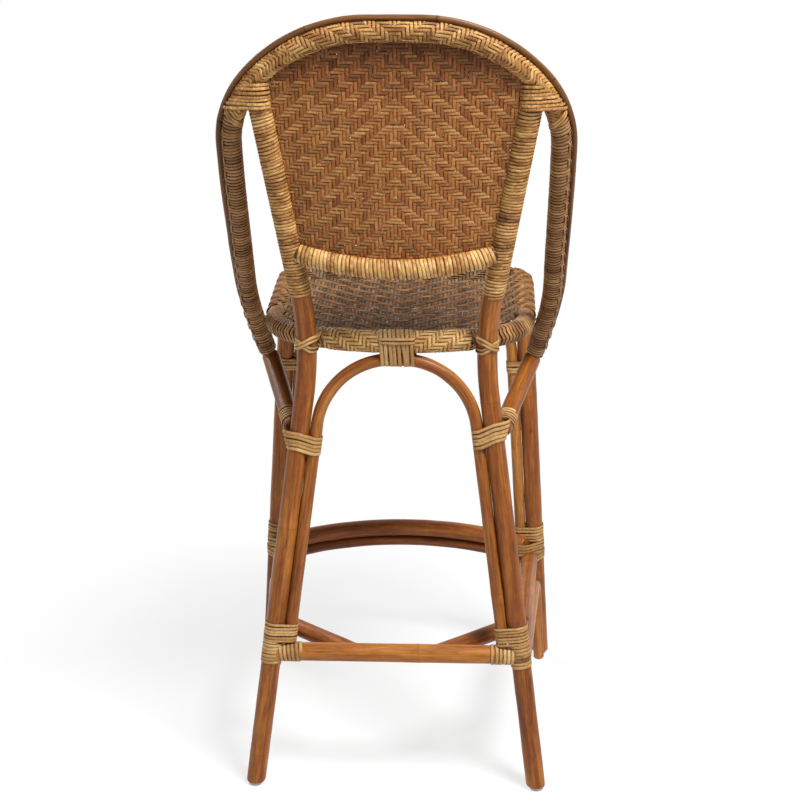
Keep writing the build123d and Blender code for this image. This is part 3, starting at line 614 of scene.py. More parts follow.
hoop_length = lengths(hoop_run)[-1]
hoop_middle = hoop_length / 2
for side, hand in both_hands:
    low, high = sorted((hoop_middle - side * shoulder_half, 0.0 if side > 0 else hoop_length))
    wound(f"hoop_winding_{hand}", "hoop_wrap", stretch(hoop_run, low, high), hoop_pole_radius,
          hoop_pitch, hoop_cane, 51 + side, tone=0.52)
    low, high = sorted((hoop_middle - side * (woven_half - 0.004),
                        hoop_middle - side * (shoulder_half + 0.001)))
    wound(f"shoulder_winding_{hand}", "hoop_wrap", stretch(hoop_run, low, high),
          hoop_pole_radius, shoulder_pitch, straw_cane, 55 + side, wave=0.004, waves=4.0)
    for number, angle in enumerate(np.radians(runner_angles)):
        s = np.arange(0.012, hoop_middle - shoulder_half - 0.02, 0.0017)
        s = s if side > 0 else hoop_length - s
        over = np.clip(np.sin(2 * np.pi * (s + number * 0.006) / runner_swing) * 2.5, -1, 1)
        strand, lie = round_pole(hoop_frame, s, angle,
                                 hoop_pole_radius + cane_thick * 0.75 + 0.0011 * over)
        laid(f"hoop_runner_{hand}_{number}", "hoop_wrap", [strand], [lie], [0.55], runner_wide,
             hoop_cane)

# The pole inside shows only as a dark line between turns.
core_wood = pole_finish("core_wood", (70, 42, 22), (110, 72, 40), (140, 98, 58))


def finished_with(node, material):
    """Gives a CAD shape that is shown as it is another finish."""
    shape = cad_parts[node]
    shape.data.materials.clear()
    shape.data.materials.append(material)


finished_with("back_hoop", core_wood)

# -------- woven crown of the hoop
# Over the top of the back the turns of split cane are locked by many lengthwise strands,
# three over and three under, with the slants mirrored about the middle.
crown_pitch = 0.0056


def between(knots, at):
    """Values drawn for whole steps, joined evenly at the places between them."""
    return np.interp(at, np.arange(len(knots)), knots)


def streaked(chance, tone, apart, sway, along):
    """A strand's tone, drawn near the given one and swaying slowly along it."""
    return tone + apart * (chance.rand() - 0.5) + sway * np.sin(along + 6 * chance.rand())


def twill(turn, row):
    """Three over, three under: 1 where the crossing turn lies over at that row, -1 under."""
    return np.clip(np.sin(2 * np.pi * (np.abs(turn) + row) / 6) * 1.9, -1, 1)


def woven_tube(name, node, frame_at, middle, half, radius, pitch, tone, seed, slant=1):
    """Turns round a pole, so far to each side of a middle, crossed by lengthwise rows."""
    rows, step, thick = 18, 0.00055, 0.0011
    fill_up = 0.93
    base = radius + step + 0.0006
    first, last = -half / pitch, half / pitch
    turn = np.arange(first, last, 1 / (2 * rows))
    strand, lie = round_pole(frame_at, middle + turn * pitch, 2 * np.pi * (turn % 1),
                             base + step * twill(turn, slant * rows * (turn % 1)))
    chance = np.random.RandomState(seed)
    shade = tone + 0.5 * (between(chance.rand(int(last - first) + 3), turn - first) - 0.5)
    laid(f"{name}_turns", node, [strand], [lie], [shade], pitch * fill_up, straw_cane, thick)
    strands, outs, tones = [], [], []
    for row in range(rows):
        part = np.arange(math.ceil(first * 2) / 2, last, 0.5) + row / rows
        strand, lie = round_pole(frame_at, middle + part * pitch, 2 * np.pi * row / rows,
                                 base - step * twill(part, slant * row))
        strands.append(strand)
        outs.append(lie)
        tones.append(streaked(chance, tone, 0.35, 0.25, part * 0.37))
    wide = 2 * math.pi * (radius + 0.001) / rows
    laid(f"{name}_rows", node, strands, outs, tones, wide * fill_up, straw_cane, thick)


woven_tube("crown_weave", "hoop_wrap", hoop_frame, hoop_middle, woven_half, hoop_pole_radius,
           crown_pitch, 0.5, 61)

# -------- winding on the posts
# Above the seat the rear legs are wound with split cane up to their tops, over the varnished
# skin, turn against turn.
post_low, post_high, post_pitch = 0.787, 1.074, 0.00485
for side, hand in both_hands:
    run = np.linspace(rear_leg_at(post_low, side), rear_leg_at(post_high, side), 60)
    wound(f"post_winding_{hand}", f"post_wrap_{hand}", run, leg_radius, post_pitch, straw_cane,
          65 + side, tone=0.52, lean=0.0016)

# -------- rail under the back
# A stout rattan pole bowed between the posts and coped to them, wound as they are with split
# cane. It carries the lower edge of the back.
rail_end, rail_middle = np.array((0.1518, 0.2013, 0.854)), np.array((0, 0.2263, 0.833))
rail_pitch, rail_wound_half = 0.0056, 0.143
share = np.linspace(-1, 1, 90)[:, None]
rail_run = rail_middle + (rail_end - rail_middle) * share ** 2
rail_run[:, 0] = -share[:, 0] * rail_end[0]
wound("rail_winding", "rail_wrap", rail_run[np.abs(rail_run[:, 0]) < rail_wound_half],
      hoop_pole_radius, rail_pitch, straw_cane, 71, tone=0.66, lean=0.0012, fill_up=1.02)
finished_with("cross_rail", core_wood)

# -------- woven back
# Flat strands of cane woven three over and three under, the slants mirrored about the middle.
# The sheet is drawn round the posts, the rail and the hoop, and bows out behind the sitter.
weft_cane = cane_finish("weft_cane", (100, 56, 23), (162, 108, 57), (204, 153, 94),
                        wear=0.8, edges=0.48)
warp_cane = cane_finish("warp_cane", (88, 40, 14), (154, 92, 42), (196, 136, 74),
                        wear=0.8, edges=0.48)
back_low, back_high = 0.833, 1.1707
bow_low, bow_high = 0.025, 0.0035         # how far it bows out at its low and high edges
warp_gap, weft_gap, lift, back_thick = 0.0054, 0.0046, 0.00062, 0.0011
hoop_gap, post_gap = 0.0115, 0.004        # strands end so near the hoop's and posts' lines


def back_at(across, z):
    """A point of the back: across runs from -1 at one post to 1 at the other."""
    z, across = np.broadcast_arrays(np.asarray(z, float), np.asarray(across, float))
    rise = np.array(post_top) - knee
    end = knee + rise * ((z - ring_z) / rise[2])[..., None]
    depth = bow_low + (bow_high - bow_low) * (z - back_low) / (back_high - back_low)
    return np.stack([end[..., 0] * across, end[..., 1] + depth * (1 - across ** 2), z], -1)


def inside_hoop(spots):
    """Whether points of the back lie within the hoop's inner side, seen from behind."""
    upper = hoop_run[hoop_run[:, 2] > 0.98]
    near = np.linalg.norm(spots[..., None, [0, 2]] - upper[:, [0, 2]], axis=-1).min(-1)
    left = upper[: len(upper) // 2][::-1]
    height = np.interp(np.abs(spots[..., 0]), left[:, 0], left[:, 2])
    return (spots[..., 2] < height) & (near > hoop_gap)


def stray(chance, count, size, every=7):
    """A slow drift to either side, as strands laid by hand have."""
    return size * between(chance.randn(count // every + 3), np.arange(count) / every)


def painted_shadow_at(z):
    """Painted shadow: the back is darker near the crown, where the hoop shades it."""
    return 0.42 * np.clip((z - 1.07) / 0.08, 0, 1)


chance = np.random.RandomState(81)


def back_warps():
    """Upright strands: places across, heights, the posts' place there, lifts and steps."""
    rows = np.arange(0, (back_high - back_low) / weft_gap, 0.5)
    z = back_low + rows * weft_gap
    for column in range(-36, 37):
        x = column * warp_gap + stray(chance, len(z), 0.0005)
        yield x, z, back_at(1, z)[:, 0], lift * twill(column, rows + 0.5), rows


def back_wefts():
    """Level strands, told in the same way."""
    for row in range(int((back_high - back_low) / weft_gap)):
        z = back_low + row * weft_gap
        post_x = back_at(1, z)[0]
        columns = np.round(np.arange(-post_x / warp_gap, post_x / warp_gap, 0.5) * 2) / 2
        strayed = z + stray(chance, len(columns), 0.00045)
        yield columns * warp_gap, strayed, post_x, -lift * twill(columns, row + 0.5), columns


for name, woven, tone, wide, look in (
        ("back_warps", back_warps(), 0.52, warp_gap * 1.01, warp_cane),
        ("back_wefts", back_wefts(), 0.44, weft_gap * 1.06, weft_cane)):
    strands, outs, tones = [], [], []
    for x, z, post_x, lifted, steps in woven:
        spots = back_at(x / post_x, z)
        usable = np.flatnonzero((np.abs(x) < post_x - post_gap) & inside_hoop(spots))
        if len(usable) < 4:
            continue
        part = slice(usable[0], usable[-1] + 1)
        outward = unit(np.cross(back_at(x / post_x + 0.01, z) - spots, (0, 0, 1.0)))
        outward = np.where(outward[:, 1:2] > 0, outward, -outward)
        strands.append((spots + outward * lifted[:, None])[part])
        outs.append(outward[part])
        # each strand's tone, made darker near the crown by the painted shadow
        tones.append((streaked(chance, tone, 0.4, 0.12, steps * 0.3) - painted_shadow_at(z))[part])
    laid(name, "back_panel", strands, outs, tones, wide, look, back_thick)

# -------- rim of the seat
# A rattan pole bent into a ring with rounded corners, wound all round with split cane. Along
# the back of the seat its turns are locked by lengthwise strands, three over and three under.
ring_pole_radius, ring_skin_radius = 0.0135, 0.01705
ring_front_y, ring_side_lean = -0.22367, 1.22
front_corner, front_bend = (0.15303, -0.17867), 0.045
rear_corner, rear_bend = (0.09301, 0.05557), 0.1
side_front, side_rear = (0.19802, -0.17771), (0.19299, 0.0577)
ring_arc_centre, ring_arc_radius, ring_arc_start = np.array((0.0, -0.16567)), 0.34, 67.2
rear_weave_half, rear_pitch, rim_pitch = 0.108, 0.0058, 0.0062


def arc(centre, radius, start, end, step=0.004):
    """Points on a level arc between two headings from +X, in degrees."""
    count = max(4, int(abs(end - start) / 57.3 * radius / step))
    turns = np.radians(np.linspace(start, end, count))
    return np.stack([centre[0] + radius * np.cos(turns), centre[1] + radius * np.sin(turns)], 1)


def straight(start, end, step=0.004):
    start, end = np.array(start), np.array(end)
    count = max(2, int(np.linalg.norm(end - start) / step))
    return np.linspace(start, end, count, endpoint=False)


# left half of the ring, from the middle of its front to the middle of its rear
half_ring = np.vstack([
    straight((0, ring_front_y), (front_corner[0], ring_front_y)),
    arc(front_corner, front_bend, -90, -ring_side_lean), straight(side_front, side_rear),
    arc(rear_corner, rear_bend, ring_side_lean, ring_arc_start),
    arc(ring_arc_centre, ring_arc_radius, ring_arc_start, 90)])
moved = np.linalg.norm(np.diff(half_ring, axis=0), axis=1) > 1e-6
half_ring = half_ring[np.concatenate([[True], moved])]
whole_ring = np.vstack([half_ring, (half_ring * (-1, 1))[::-1][1:]])
ring_line = whole_ring[:-1]
ring_run = np.column_stack([whole_ring, np.full(len(whole_ring), ring_z)])
ring_length = lengths(ring_run)[-1]
seat_cane = cane_finish("seat_cane", (88, 54, 26), (154, 106, 60), (200, 154, 98))


def ring_frame(s):
    """Places at lengths round the ring, with the outward and upward ways there."""
    inner = np.clip(s, 0.003, ring_length - 0.003)
    way = unit(at_lengths(ring_run, inner + 0.003) - at_lengths(ring_run, inner - 0.003))
    up = np.broadcast_to(np.array((0, 0, 1.0)), way.shape)
    return at_lengths(ring_run, s), np.cross(way, up), up


woven_tube("seat_rear_weave", "seat_rim_wrap", ring_frame, ring_length / 2, rear_weave_half,
           ring_pole_radius + 0.0012, rear_pitch, 0.78, 87, slant=-1)
for side, hand in both_hands:
    low, high = sorted((ring_length / 2 - side * (rear_weave_half - 0.002),
                        0.002 if side > 0 else ring_length - 0.002))
    wound(f"seat_rim_winding_{hand}", "seat_rim_wrap", stretch(ring_run, low, high),
          ring_pole_radius + 0.0009, rim_pitch, seat_cane, 91 + side, tone=0.55, wave=0.0016,
          waves=5.0)
finished_with("seat_ring", core_wood)

# -------- woven seat
# Flat cane woven three over and three under, greyed with use. The sheet sags a little inside
# the ring, rises to it, and at the front and sides is drawn over it and tucked below.
worn_cane = cane_finish("worn_cane", (64, 38, 19), (122, 80, 46), (172, 124, 76),
                        rough=0.62, gloss=0.1)
grey_cane = cane_finish("grey_cane", (44, 32, 22), (102, 82, 62), (158, 134, 108),
                        rough=0.62, wear=0.6, gloss=0.1)
seat_gap, seat_lift, seat_thick = 0.0062, 0.00105, 0.0018
seat_middle_y, seat_sag, sag_reach = -0.02, 0.0125, 0.05
seat_side, seat_front, seat_rear = 0.192, -0.222, 0.172
roll_radius = ring_skin_radius - 0.0002
rolled_rear = 0.035                       # behind this the sheet ends inside the ring
tuck_gap, tuck_down, tuck_out = 0.0125, 0.004, 0.004


def seat_height(x, y):
    """Top of the sheet: lower in the middle, rising to the top of the ring."""
    near = np.linalg.norm(np.stack([x, y], -1)[:, None] - ring_line, axis=-1).min(-1)
    share = np.clip(near / sag_reach, 0, 1)
    return ring_z + roll_radius - seat_sag * share * share * (3 - 2 * share) - 0.002


def crossings(line_at, axis):
    """Where a straight strand meets the ring's line, lowest and highest, and the way out."""
    found = []
    for a, b in zip(ring_line, np.roll(ring_line, -1, axis=0)):
        if (a[axis] - line_at) * (b[axis] - line_at) <= 0 and abs(a[axis] - b[axis]) > 1e-9:
            spot = a + (line_at - a[axis]) / (b[axis] - a[axis]) * (b - a)
            found.append((spot, unit(np.array((b[1] - a[1], a[0] - b[0])))))
    found.sort(key=lambda crossing: crossing[0][1 - axis])
    return found[0], found[-1]


def rolled_over(spot, normal, number, count=26):
    """The end of a strand, over the ring's outer side and tucked below it."""
    turns = np.radians(np.linspace(4, 150, count))
    lie = np.column_stack([np.outer(np.sin(turns), normal), np.cos(turns)])
    sign = np.clip(np.sin(2 * np.pi * (np.arange(count) / 2 + number) / 6) * 1.9, -1, 1)
    return (*spot, ring_z) + lie * (roll_radius + 0.0005 * sign)[:, None], lie


def seat_strand(number, axis, line_at):
    """One strand of the seat, along y (axis 0) or x (axis 1), and its outward ways."""
    low, high = crossings(line_at, axis)
    start = seat_middle_y if axis == 0 else 0
    steps = np.arange(math.ceil((low[0][1 - axis] - start) / seat_gap * 2) / 2,
                      (high[0][1 - axis] - start) / seat_gap, 0.5)
    run, across = steps * seat_gap + start, np.full(len(steps), line_at)
    aside = stray(chance, len(run), 0.0006) * np.sin(np.linspace(0, np.pi, len(run)))
    x, y = (across, run) if axis == 0 else (run, across)
    column = x / seat_gap if axis == 1 else float(number)
    sign = (1, -1)[axis] * twill(column, (y - seat_middle_y) / seat_gap + 0.5)
    strand = np.column_stack([x, y, seat_height(x, y) + seat_lift * sign])
    strand[:, axis] += aside
    outward = np.tile((0, 0, 1.0), (len(strand), 1))
    for (spot, normal), at_high in ((low, False), (high, True)):
        if (axis == 0 and at_high) or (axis == 1 and line_at > rolled_rear):
            near = np.linalg.norm(strand[:, None, :2] - ring_line, axis=-1).min(-1)
            strand, outward = strand[near > tuck_gap], outward[near > tuck_gap]
            if not len(strand):
                break
            end = strand[-1 if at_high else 0] + (*(normal * tuck_out), -tuck_down)
            end, lie = end[None], np.array(((0, 0, 1.0),))
        else:
            end, lie = rolled_over(spot, normal, number)
        if at_high:
            strand, outward = np.vstack([strand, end]), np.vstack([outward, lie])
        else:
            strand, outward = np.vstack([end[::-1], strand]), np.vstack([lie[::-1], outward])
    return strand, outward


chance = np.random.RandomState(95)
for name, axis, number, tone, wide, look in (
        ("seat_warps", 0, 32, 0.34, seat_gap * 0.98, grey_cane),
        ("seat_wefts", 1, 40, 0.56, seat_gap * 0.9, worn_cane)):
    strands, outs, tones = [], [], []
    for k in range(-number, number + 1):
        line_at = k * seat_gap + (seat_middle_y if axis == 1 else 0)
        if (abs(line_at) > seat_side) if axis == 0 else not seat_front < line_at < seat_rear:
            continue
        strand, outward = seat_strand(k, axis, line_at)
        if len(strand) < 4:
            continue
        strands.append(strand)
        outs.append(outward)
        # paler and browner toward the rim, greyed in the middle
        outer = np.linalg.norm(strand[:, :2] - (0, seat_middle_y), axis=1) / 0.19
        tones.append(streaked(chance, tone, 0.45, 0.15, np.arange(len(strand)) * 0.21)
                     + 0.34 * (np.clip(outer, 0, 1) ** 2 - 0.38))
    laid(name, "seat_panel", strands, outs, tones, wide, look, seat_thick)

# -------- slats under the seat
# Two thin rattan poles from side to side of the ring, coped to it at both ends. They carry
# the woven sheet from below.
slat_half, slat_z, slat_radius = 0.182, 0.6992, 0.0073
for node, y, seed in (("front_seat_slat", -0.09367, 15), ("rear_seat_slat", 0.04433, 14)):
    pole(f"{node}_pole", node, np.linspace((slat_half, y, slat_z), (-slat_half, y, slat_z), 80),
         slat_radius, seed, tone=0.3, ring_gap=0.3, ring_height=0.0003, look=thin_pole)

# -------- lashings
# Where poles meet they are bound with split cane drawn tight round both, over the screws, the
# turns pushed close and the end tucked under.
lashing_cane = cane_finish("lashing_cane", (110, 68, 32), (184, 138, 82), (226, 188, 130),
                           edges=0.45)
lashing_fill = 0.94
main_z, main_z_apart = 0.565, 0.0075      # the right one is tied higher than the left
lower_z, ankle_low, ankle_high = 0.257, 0.2035, 0.2425
shoulder_z, shoulder_tall, shoulder_turns = 1.081, 0.036, 7
front_arch_z, arch_foot_z, rest_lashing_z, under_lashing_z = 0.558, 0.243, 0.2185, 0.199
arch_beside_leg, arch_foot = (0.1636, 0.2237, lower_z), (0.2063, -0.2119, arch_foot_z)
stretcher_wrap, brace_wrap = (0.0098, 0.0458), (0.001, 0.027)   # from the joint, along the pole
slant_angles, slant_apart, slant_long = np.radians(np.linspace(-25, 165, 40)), 0.0046, 0.024


def belt(apart, first_r, second_r, count):
    """A loop drawn tight round two circles that far apart, with its outward ways."""
    tilt = math.acos(np.clip((first_r - second_r) / apart, -1, 1))
    turns = np.concatenate([np.linspace(tilt, 2 * math.pi - tilt, 60),
                            np.linspace(-tilt, tilt, 60), [tilt]])
    centre, radius = np.repeat([(0, apart, 0), (first_r, second_r, first_r)], (60, 60, 1), axis=1)
    lies = np.column_stack([np.cos(turns), np.sin(turns)])
    loop = lies * radius[:, None] + np.outer(centre, (1, 0))
    even = np.linspace(0, lengths(loop)[-1], count, endpoint=False)
    return at_lengths(loop, even), unit(at_lengths(loop, even, lies))


def bound(name, node, first, first_r, second, second_r, axis, tall, turns, seed, tone=0.5,
          slack=0.0006, look=lashing_cane, lean=0.0, count=40, spread=0.0, bulge=0.0):
    """One strand bound in a close spiral round two poles that run along the axis."""
    axis = unit(np.array(axis, float))
    across = second - first
    across = across - axis * (across @ axis)
    apart = np.linalg.norm(across)
    along_x = across / apart
    along_y = np.cross(axis, along_x)
    loop, lies = belt(apart, first_r + cane_thick * 0.5, second_r + cane_thick * 0.5, count)
    if along_y[1] > 0.1:                  # the ends are tucked in on the front side
        loop, lies = np.roll(loop, count // 2, axis=0), np.roll(lies, count // 2, axis=0)
    index = np.arange(int(turns * count) + 1)
    turn, lie = index / count, lies[index % count]
    level = (turn - turns / 2) * tall / turns
    chance = np.random.RandomState(seed)
    wobble = between(chance.randn(int(turns * 3) + 3), turn * 3) * 0.12 * tall / turns
    loose = slack * between(chance.rand(int(turns * 2) + 3), turn * 2)
    from_end = np.clip(np.minimum(index, index[-1] - index) / count / 0.12, 0, 1)
    tuck = cane_thick * 1.3 * (1 - from_end) ** 2
    flat = loop[index % count] + lie * (loose - tuck)[:, None]
    far = np.clip(-flat[:, 0] / (first_r + cane_thick), 0, 1) * np.clip(level / tall + 0.5, 0, 1)
    flat[:, 0] -= far * bulge
    share = np.clip(flat[:, 0] / apart, 0, 1)
    flat[:, 0] += share * level * spread
    strand = (first + np.outer(flat[:, 0], along_x) + np.outer(flat[:, 1], along_y)
              + np.outer(level + wobble + lean * (share - 0.5), axis))
    outward = np.outer(lie[:, 0], along_x) + np.outer(lie[:, 1], along_y)
    shade = tone + 0.5 * (between(chance.rand(int(turns) + 3), turn) - 0.5)
    laid(name, node, [strand], [outward], [shade], tall / turns * lashing_fill, look, cane_thick)


def hoop_at(z, side=1):
    """Centre of the hoop's side at a height."""
    half = hoop_run[: len(hoop_run) // 2]
    return np.array([np.interp(z, half[:, 2], half[:, k]) for k in range(3)]) * (side, 1, 1)


rise = hoop_run[: len(hoop_run) // 2, 2]
shoulder_place = np.interp(1.062, rise, lengths(hoop_run)[: len(rise)])
rear_way, front_way = unit(np.array(knee) - rear_foot), unit(front_top - front_foot)
for side, hand in both_hands:
    sway = np.array((side, 1, 1))
    # round leg and arch below the seat, and again near the floor over the winding of the ankle
    z = main_z - side * main_z_apart
    bound(f"main_binding_{hand}", f"main_lashing_{hand}", rear_leg_at(z, side), leg_radius,
          np.array((*rear_arch_hip[:2], z)) * sway, arch_radius, rear_way * sway, 0.031, 5,
          101 + side, lean=-0.007, bulge=0.011)
    bound(f"lower_binding_{hand}", f"lower_lashing_{hand}", rear_leg_at(lower_z, side),
          leg_radius, arch_beside_leg * sway, arch_radius, rear_way * sway, 0.03, 6,
          105 + side)
    run = np.linspace(rear_leg_at(ankle_low, side), rear_leg_at(ankle_high, side), 20)
    wound(f"ankle_winding_{hand}", f"ankle_lashing_{hand}", run, leg_radius, 0.0056,
          lashing_cane, 109 + side, fill_up=1.02, lean=0.0007)
    # on the end of the stretcher, and on the rear end of the hoop's brace
    run = np.linspace(*(rear_joint - (far, 0, 0) for far in stretcher_wrap), 18) * sway
    wound(f"stretcher_winding_{hand}", f"stretcher_wrap_{hand}", run, stretcher_radius, 0.006,
          lashing_cane, 113 + side, tone=0.55, lean=0.0012)
    run = np.linspace(*(brace_rear - brace_way * far for far in brace_wrap), 14) * sway
    wound(f"brace_winding_{hand}", f"brace_wrap_{hand}", run, brace_radius, 0.0052,
          lashing_cane, 117 + side, lean=0.003)
    # round post and hoop at the shoulder of the back, with two strands slanting off below
    hoop_leans = (hoop_at(1.07, side) - hoop_at(1.092, side))[0] / 0.022
    bound(f"shoulder_binding_{hand}", f"shoulder_wrap_{hand}", rear_leg_at(shoulder_z, side),
          leg_radius + 0.0014, hoop_at(shoulder_z, side), hoop_pole_radius + 0.0014, (0, 0, 1),
          shoulder_tall, shoulder_turns, 121 + side, count=56, look=straw_cane,
          spread=-0.165 - side * hoop_leans)
    for number in (0, 1):
        s = shoulder_place + number * slant_apart - np.linspace(0, slant_long, len(slant_angles))
        strand, lie = round_pole(hoop_frame, s if side > 0 else hoop_length - s, slant_angles,
                                 hoop_pole_radius + cane_thick * 1.45)
        laid(f"shoulder_slant_{hand}_{number}", f"shoulder_wrap_{hand}", [strand], [lie],
             [0.55], 0.0044, straw_cane)
    # front legs: arch, arch's foot, footrest and the thin pole under it
    for name, node, z, other, other_r, axis, tall, turns, seed, lean in (
            ("front_arch", "front_arch", front_arch_z, (*front_arch_hip[:2], front_arch_z),
             arch_radius, front_way * sway, 0.022, 4, 125, 0),
            ("arch_foot", "footrest", arch_foot_z, arch_foot, arch_radius, front_way * sway,
             0.03, 5, 137, 0),
            ("footrest", "footrest", rest_lashing_z + 0.002, (0.2122, -0.1869, rest_lashing_z),
             leg_radius, (0, 0, 1), 0.0235, 4, 129, 0.006),
            ("footrest_under", "lower_rail", under_lashing_z, (*under_rest_end, under_lashing_z),
             arch_radius, (0, 0, 1), 0.02, 3, 133, -0.008)):
        bound(f"{name}_binding_{hand}", f"{node}_lashing_{hand}", front_leg_at(z, side),
              leg_radius, np.array(other) * sway, other_r, axis, tall, turns, seed + side,
              lean=lean)

# -------- cross ties of the seat
# Pairs of split cane drawn crosswise over each rear leg, over the ring and under it, hold the
# ring to the legs. The rear arch is bound to the middle of the ring, close under it.
tie_x, tie_y = 0.1341, 0.1817             # where the leg passes the ring
# a strand's loop: along the ring, outward from its centre, and up
tie_corners = np.array([
    (-0.0122, 0.0205, -0.007), (-0.0163, 0.031, -0.0088), (-0.012, 0.0443, -0.0075),
    (0, 0.0489, 0.0), (0.012, 0.0443, 0.0045), (0.0163, 0.031, 0.006), (0.0122, 0.0205, 0.0085),
    (0.0112, 0.008, 0.0138), (0.0095, -0.006, 0.0155), (0.006, -0.0152, 0.007),
    (-0.005, -0.0162, -0.0055), (-0.009, -0.0105, -0.0112), (-0.0112, 0.0075, -0.0138)])
beside = 0.0027                           # half the gap between the strands of a pair


def tied(name, node, loops, outs, seed, wide=0.0046):
    chance = np.random.RandomState(seed)
    tones = [0.55 + 0.3 * (chance.rand() - 0.5) for _ in loops]
    laid(name, node, loops, outs, tones, wide, lashing_cane, 0.0014)


def rounded(corners, count=90):
    """A closed loop drawn smoothly through its corners."""
    share = np.linspace(0, len(corners), count + 1)
    k, t = np.floor(share).astype(int), (share % 1)[:, None]
    a, b, c, d = (corners[(k + step) % len(corners)] for step in (-1, 0, 1, 2))
    return 0.5 * (2 * b + (c - a) * t + (2 * a - 5 * b + 4 * c - d) * t ** 2
                  + (3 * b - a - 3 * c + d) * t ** 3)


for side, hand in both_hands:
    way = unit(np.array((tie_x * side, tie_y)) - ring_arc_centre)
    turned = np.array([(-way[1], way[0], 0), (*way, 0), (0, 0, 1)])
    centre = np.array((*(ring_arc_centre + way * ring_arc_radius), ring_z))
    loops, outs = [], []
    for crossing, grow in ((1, 1.0), (-1, 1.028)):
        for pair in (-beside, beside):
            corners = tie_corners.copy()
            faces_out = np.abs(corners[:, 2]) < 0.0125
            corners[:, 2] += pair * faces_out
            corners[:, 0] -= pair * ~faces_out
            corners *= (-side, 1, crossing)
            under = (corners[:, 2] < -0.006) & (corners[:, 1] < 0.012)
            corners[under] *= (1, 0.84, 0.84)
            loop = rounded(corners * (1, grow, 1))
            along = unit(np.gradient(loop, axis=0))
            lie = unit((loop - (0, 0.0162, 0)) * (1, 1, 1.3))
            lie = unit(lie - along * (lie * along).sum(1)[:, None])
            loops.append(centre + loop @ turned)
            outs.append(lie @ turned)
    tied(f"seat_cross_tie_{hand}", f"seat_tie_{hand}", loops, outs, 141 + side, wide=0.005)

ring_rear = np.array((0, ring_arc_centre[1] + ring_arc_radius, ring_z))
bound("centre_binding", "centre_tie", ring_rear, ring_skin_radius, arch_top, arch_radius,
      (1, 0, 0), 0.052, 8, 151, tone=0.55, slack=0.0004, count=48)
for number, z in enumerate((0.7135, 0.7195)):
    x = np.linspace(-0.027, 0.027, 40)
    dip = 0.004 * np.clip((np.abs(x) - 0.019) / 0.008, 0, 1) ** 2
    y = ring_rear[1] - x ** 2 / (2 * ring_arc_radius) + 0.0201 - dip
    lie = np.tile(unit(np.array((0, 0.95, 0.3))), (40, 1))
    tied(f"centre_float_{number}", "centre_tie", [np.column_stack([x, y, np.full(40, z)])], [lie],
         153 + number)

# -------- screws and glides
# Steel wood screws hold the main joints, their heads sunk into the poles. A flat nylon glide
# is nailed under each leg.


def scuffed(name, pale, dark, rough, metal, scale):
    """A hard finish with scuffs of that scale and finer grain between them."""
    material, tree, skin = finish(name)
    place = add(tree, "ShaderNodeTexCoord", output="Object")
    scuffs = cloud(place, (scale,) * 3, 5.0, 0.65)
    fine = cloud(place, (scale * 7,) * 3, 3.0)
    colour = colour_steps(scuffs, [(0.35, dark), (0.6, pale)])
    fill(skin, {"Base Color": shaded(colour, fine.ranged(0.3, 0.7, 0.86, 1.06)),
                "Roughness": scuffs.ranged(0.3, 0.7, rough - 0.1, rough + 0.15),
                "Metallic": metal, "Normal": relief(fine, 0.3, 0.0002)})
    return material


finished_with("frame_screws", scuffed("steel", (150, 146, 140), (98, 92, 86), 0.4, 1.0, 400.0))
finished_with("foot_glides", scuffed("pale_nylon", (206, 203, 196), (170, 166, 158), 0.45, 0.0,
                                     150.0))

# -------- room
# A plain pale floor under a white room, lit by a wide soft lamp and two weaker ones. The
# floor shows white to the eye and keeps the stool's own shadow.
floor_half, floor_white, room_glow = 7, (0.86, 0.86, 0.86, 1), 0.24
lamps = (("wide_lamp", (-1.2, 1.35, 3.4), 1.1, 150), ("fill_lamp", (2.6, 1.6, 1.6), 2.2, 7),
         ("front_lamp", (2.2, -2.1, 2.2), 1.8, 52))
lit_at = Vector((0, 0, 0.6))
eye, eye_pitch, eye_way = (-0.0916, 2.531, 1.4157), math.radians(19.83), Vector((0.0365, -0.9993))


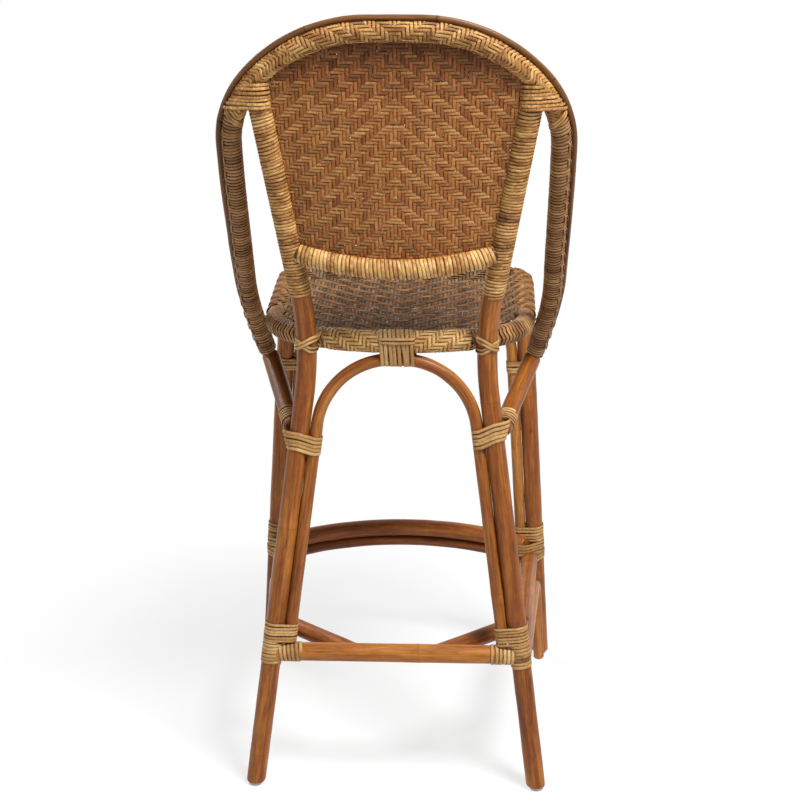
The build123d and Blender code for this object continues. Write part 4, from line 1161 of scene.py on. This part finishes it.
def seen_by(tree, *rays):
    """1 to a ray of any of those kinds, 0 to light."""
    first, *others = (add(tree, "ShaderNodeLightPath", output=f"Is {ray} Ray") for ray in rays)
    for other in others:
        first = first.reckoned("MAXIMUM", other)
    return first


def stood(name, data):
    held = bpy.data.objects.new(name, data)
    bpy.context.scene.collection.objects.link(held)
    return held


def aimed(held, place, way):
    held.location = place
    held.rotation_euler = way.to_track_quat("-Z", "Y").to_euler()


sheet = bpy.data.meshes.new("floor")
sheet.from_pydata([(x * floor_half, y * floor_half, 0)
                   for x, y in ((-1, -1), (1, -1), (1, 1), (-1, 1))], [], [(0, 1, 2, 3)])
floor = stood("floor", sheet)
white, tree, skin = finish("floor_white")
fill(skin, {"Base Color": floor_white, "Roughness": 0.9, "Specular IOR Level": 0.1})
far_off = add(tree, "ShaderNodeVectorMath", add(tree, "ShaderNodeTexCoord", output="Object"),
              output="Value", operation="LENGTH")
share = seen_by(tree, "Camera", "Glossy") * far_off.ranged(0.3, 1.1, 0.72, 1.0)
glow = add(tree, "ShaderNodeEmission", (1, 1, 1, 1), 1.0)
blend = add(tree, "ShaderNodeMixShader", share, Given(tree, skin.outputs[0]), glow)
fill(tree.nodes["Material Output"], {0: blend})
floor.data.materials.append(white)

room = bpy.data.worlds.new("room")
bpy.context.scene.world = room
room.use_nodes = True
tree = room.node_tree
shows = seen_by(tree, "Camera", "Glossy", "Transmission")
fill(tree.nodes["Background"], {"Color": (1, 1, 1, 1),
                                "Strength": shows.ranged(0.0, 1.0, room_glow, 1.0)})

for name, place, size, watts in lamps:
    lamp = bpy.data.lights.new(name, "AREA")
    lamp.shape, lamp.size, lamp.energy = "DISK", size, watts
    aimed(stood(name, lamp), place, lit_at - Vector(place))

camera = bpy.data.cameras.new("view")
camera.lens, camera.sensor_width = 74.5, 36
camera.shift_x, camera.shift_y = -0.001, 0.042
looker = stood("view", camera)
level = eye_way.normalized() * math.cos(eye_pitch)
aimed(looker, eye, Vector((*level, -math.sin(eye_pitch))))
bpy.context.scene.camera = looker
bpy.context.scene.view_settings.view_transform = "Standard"
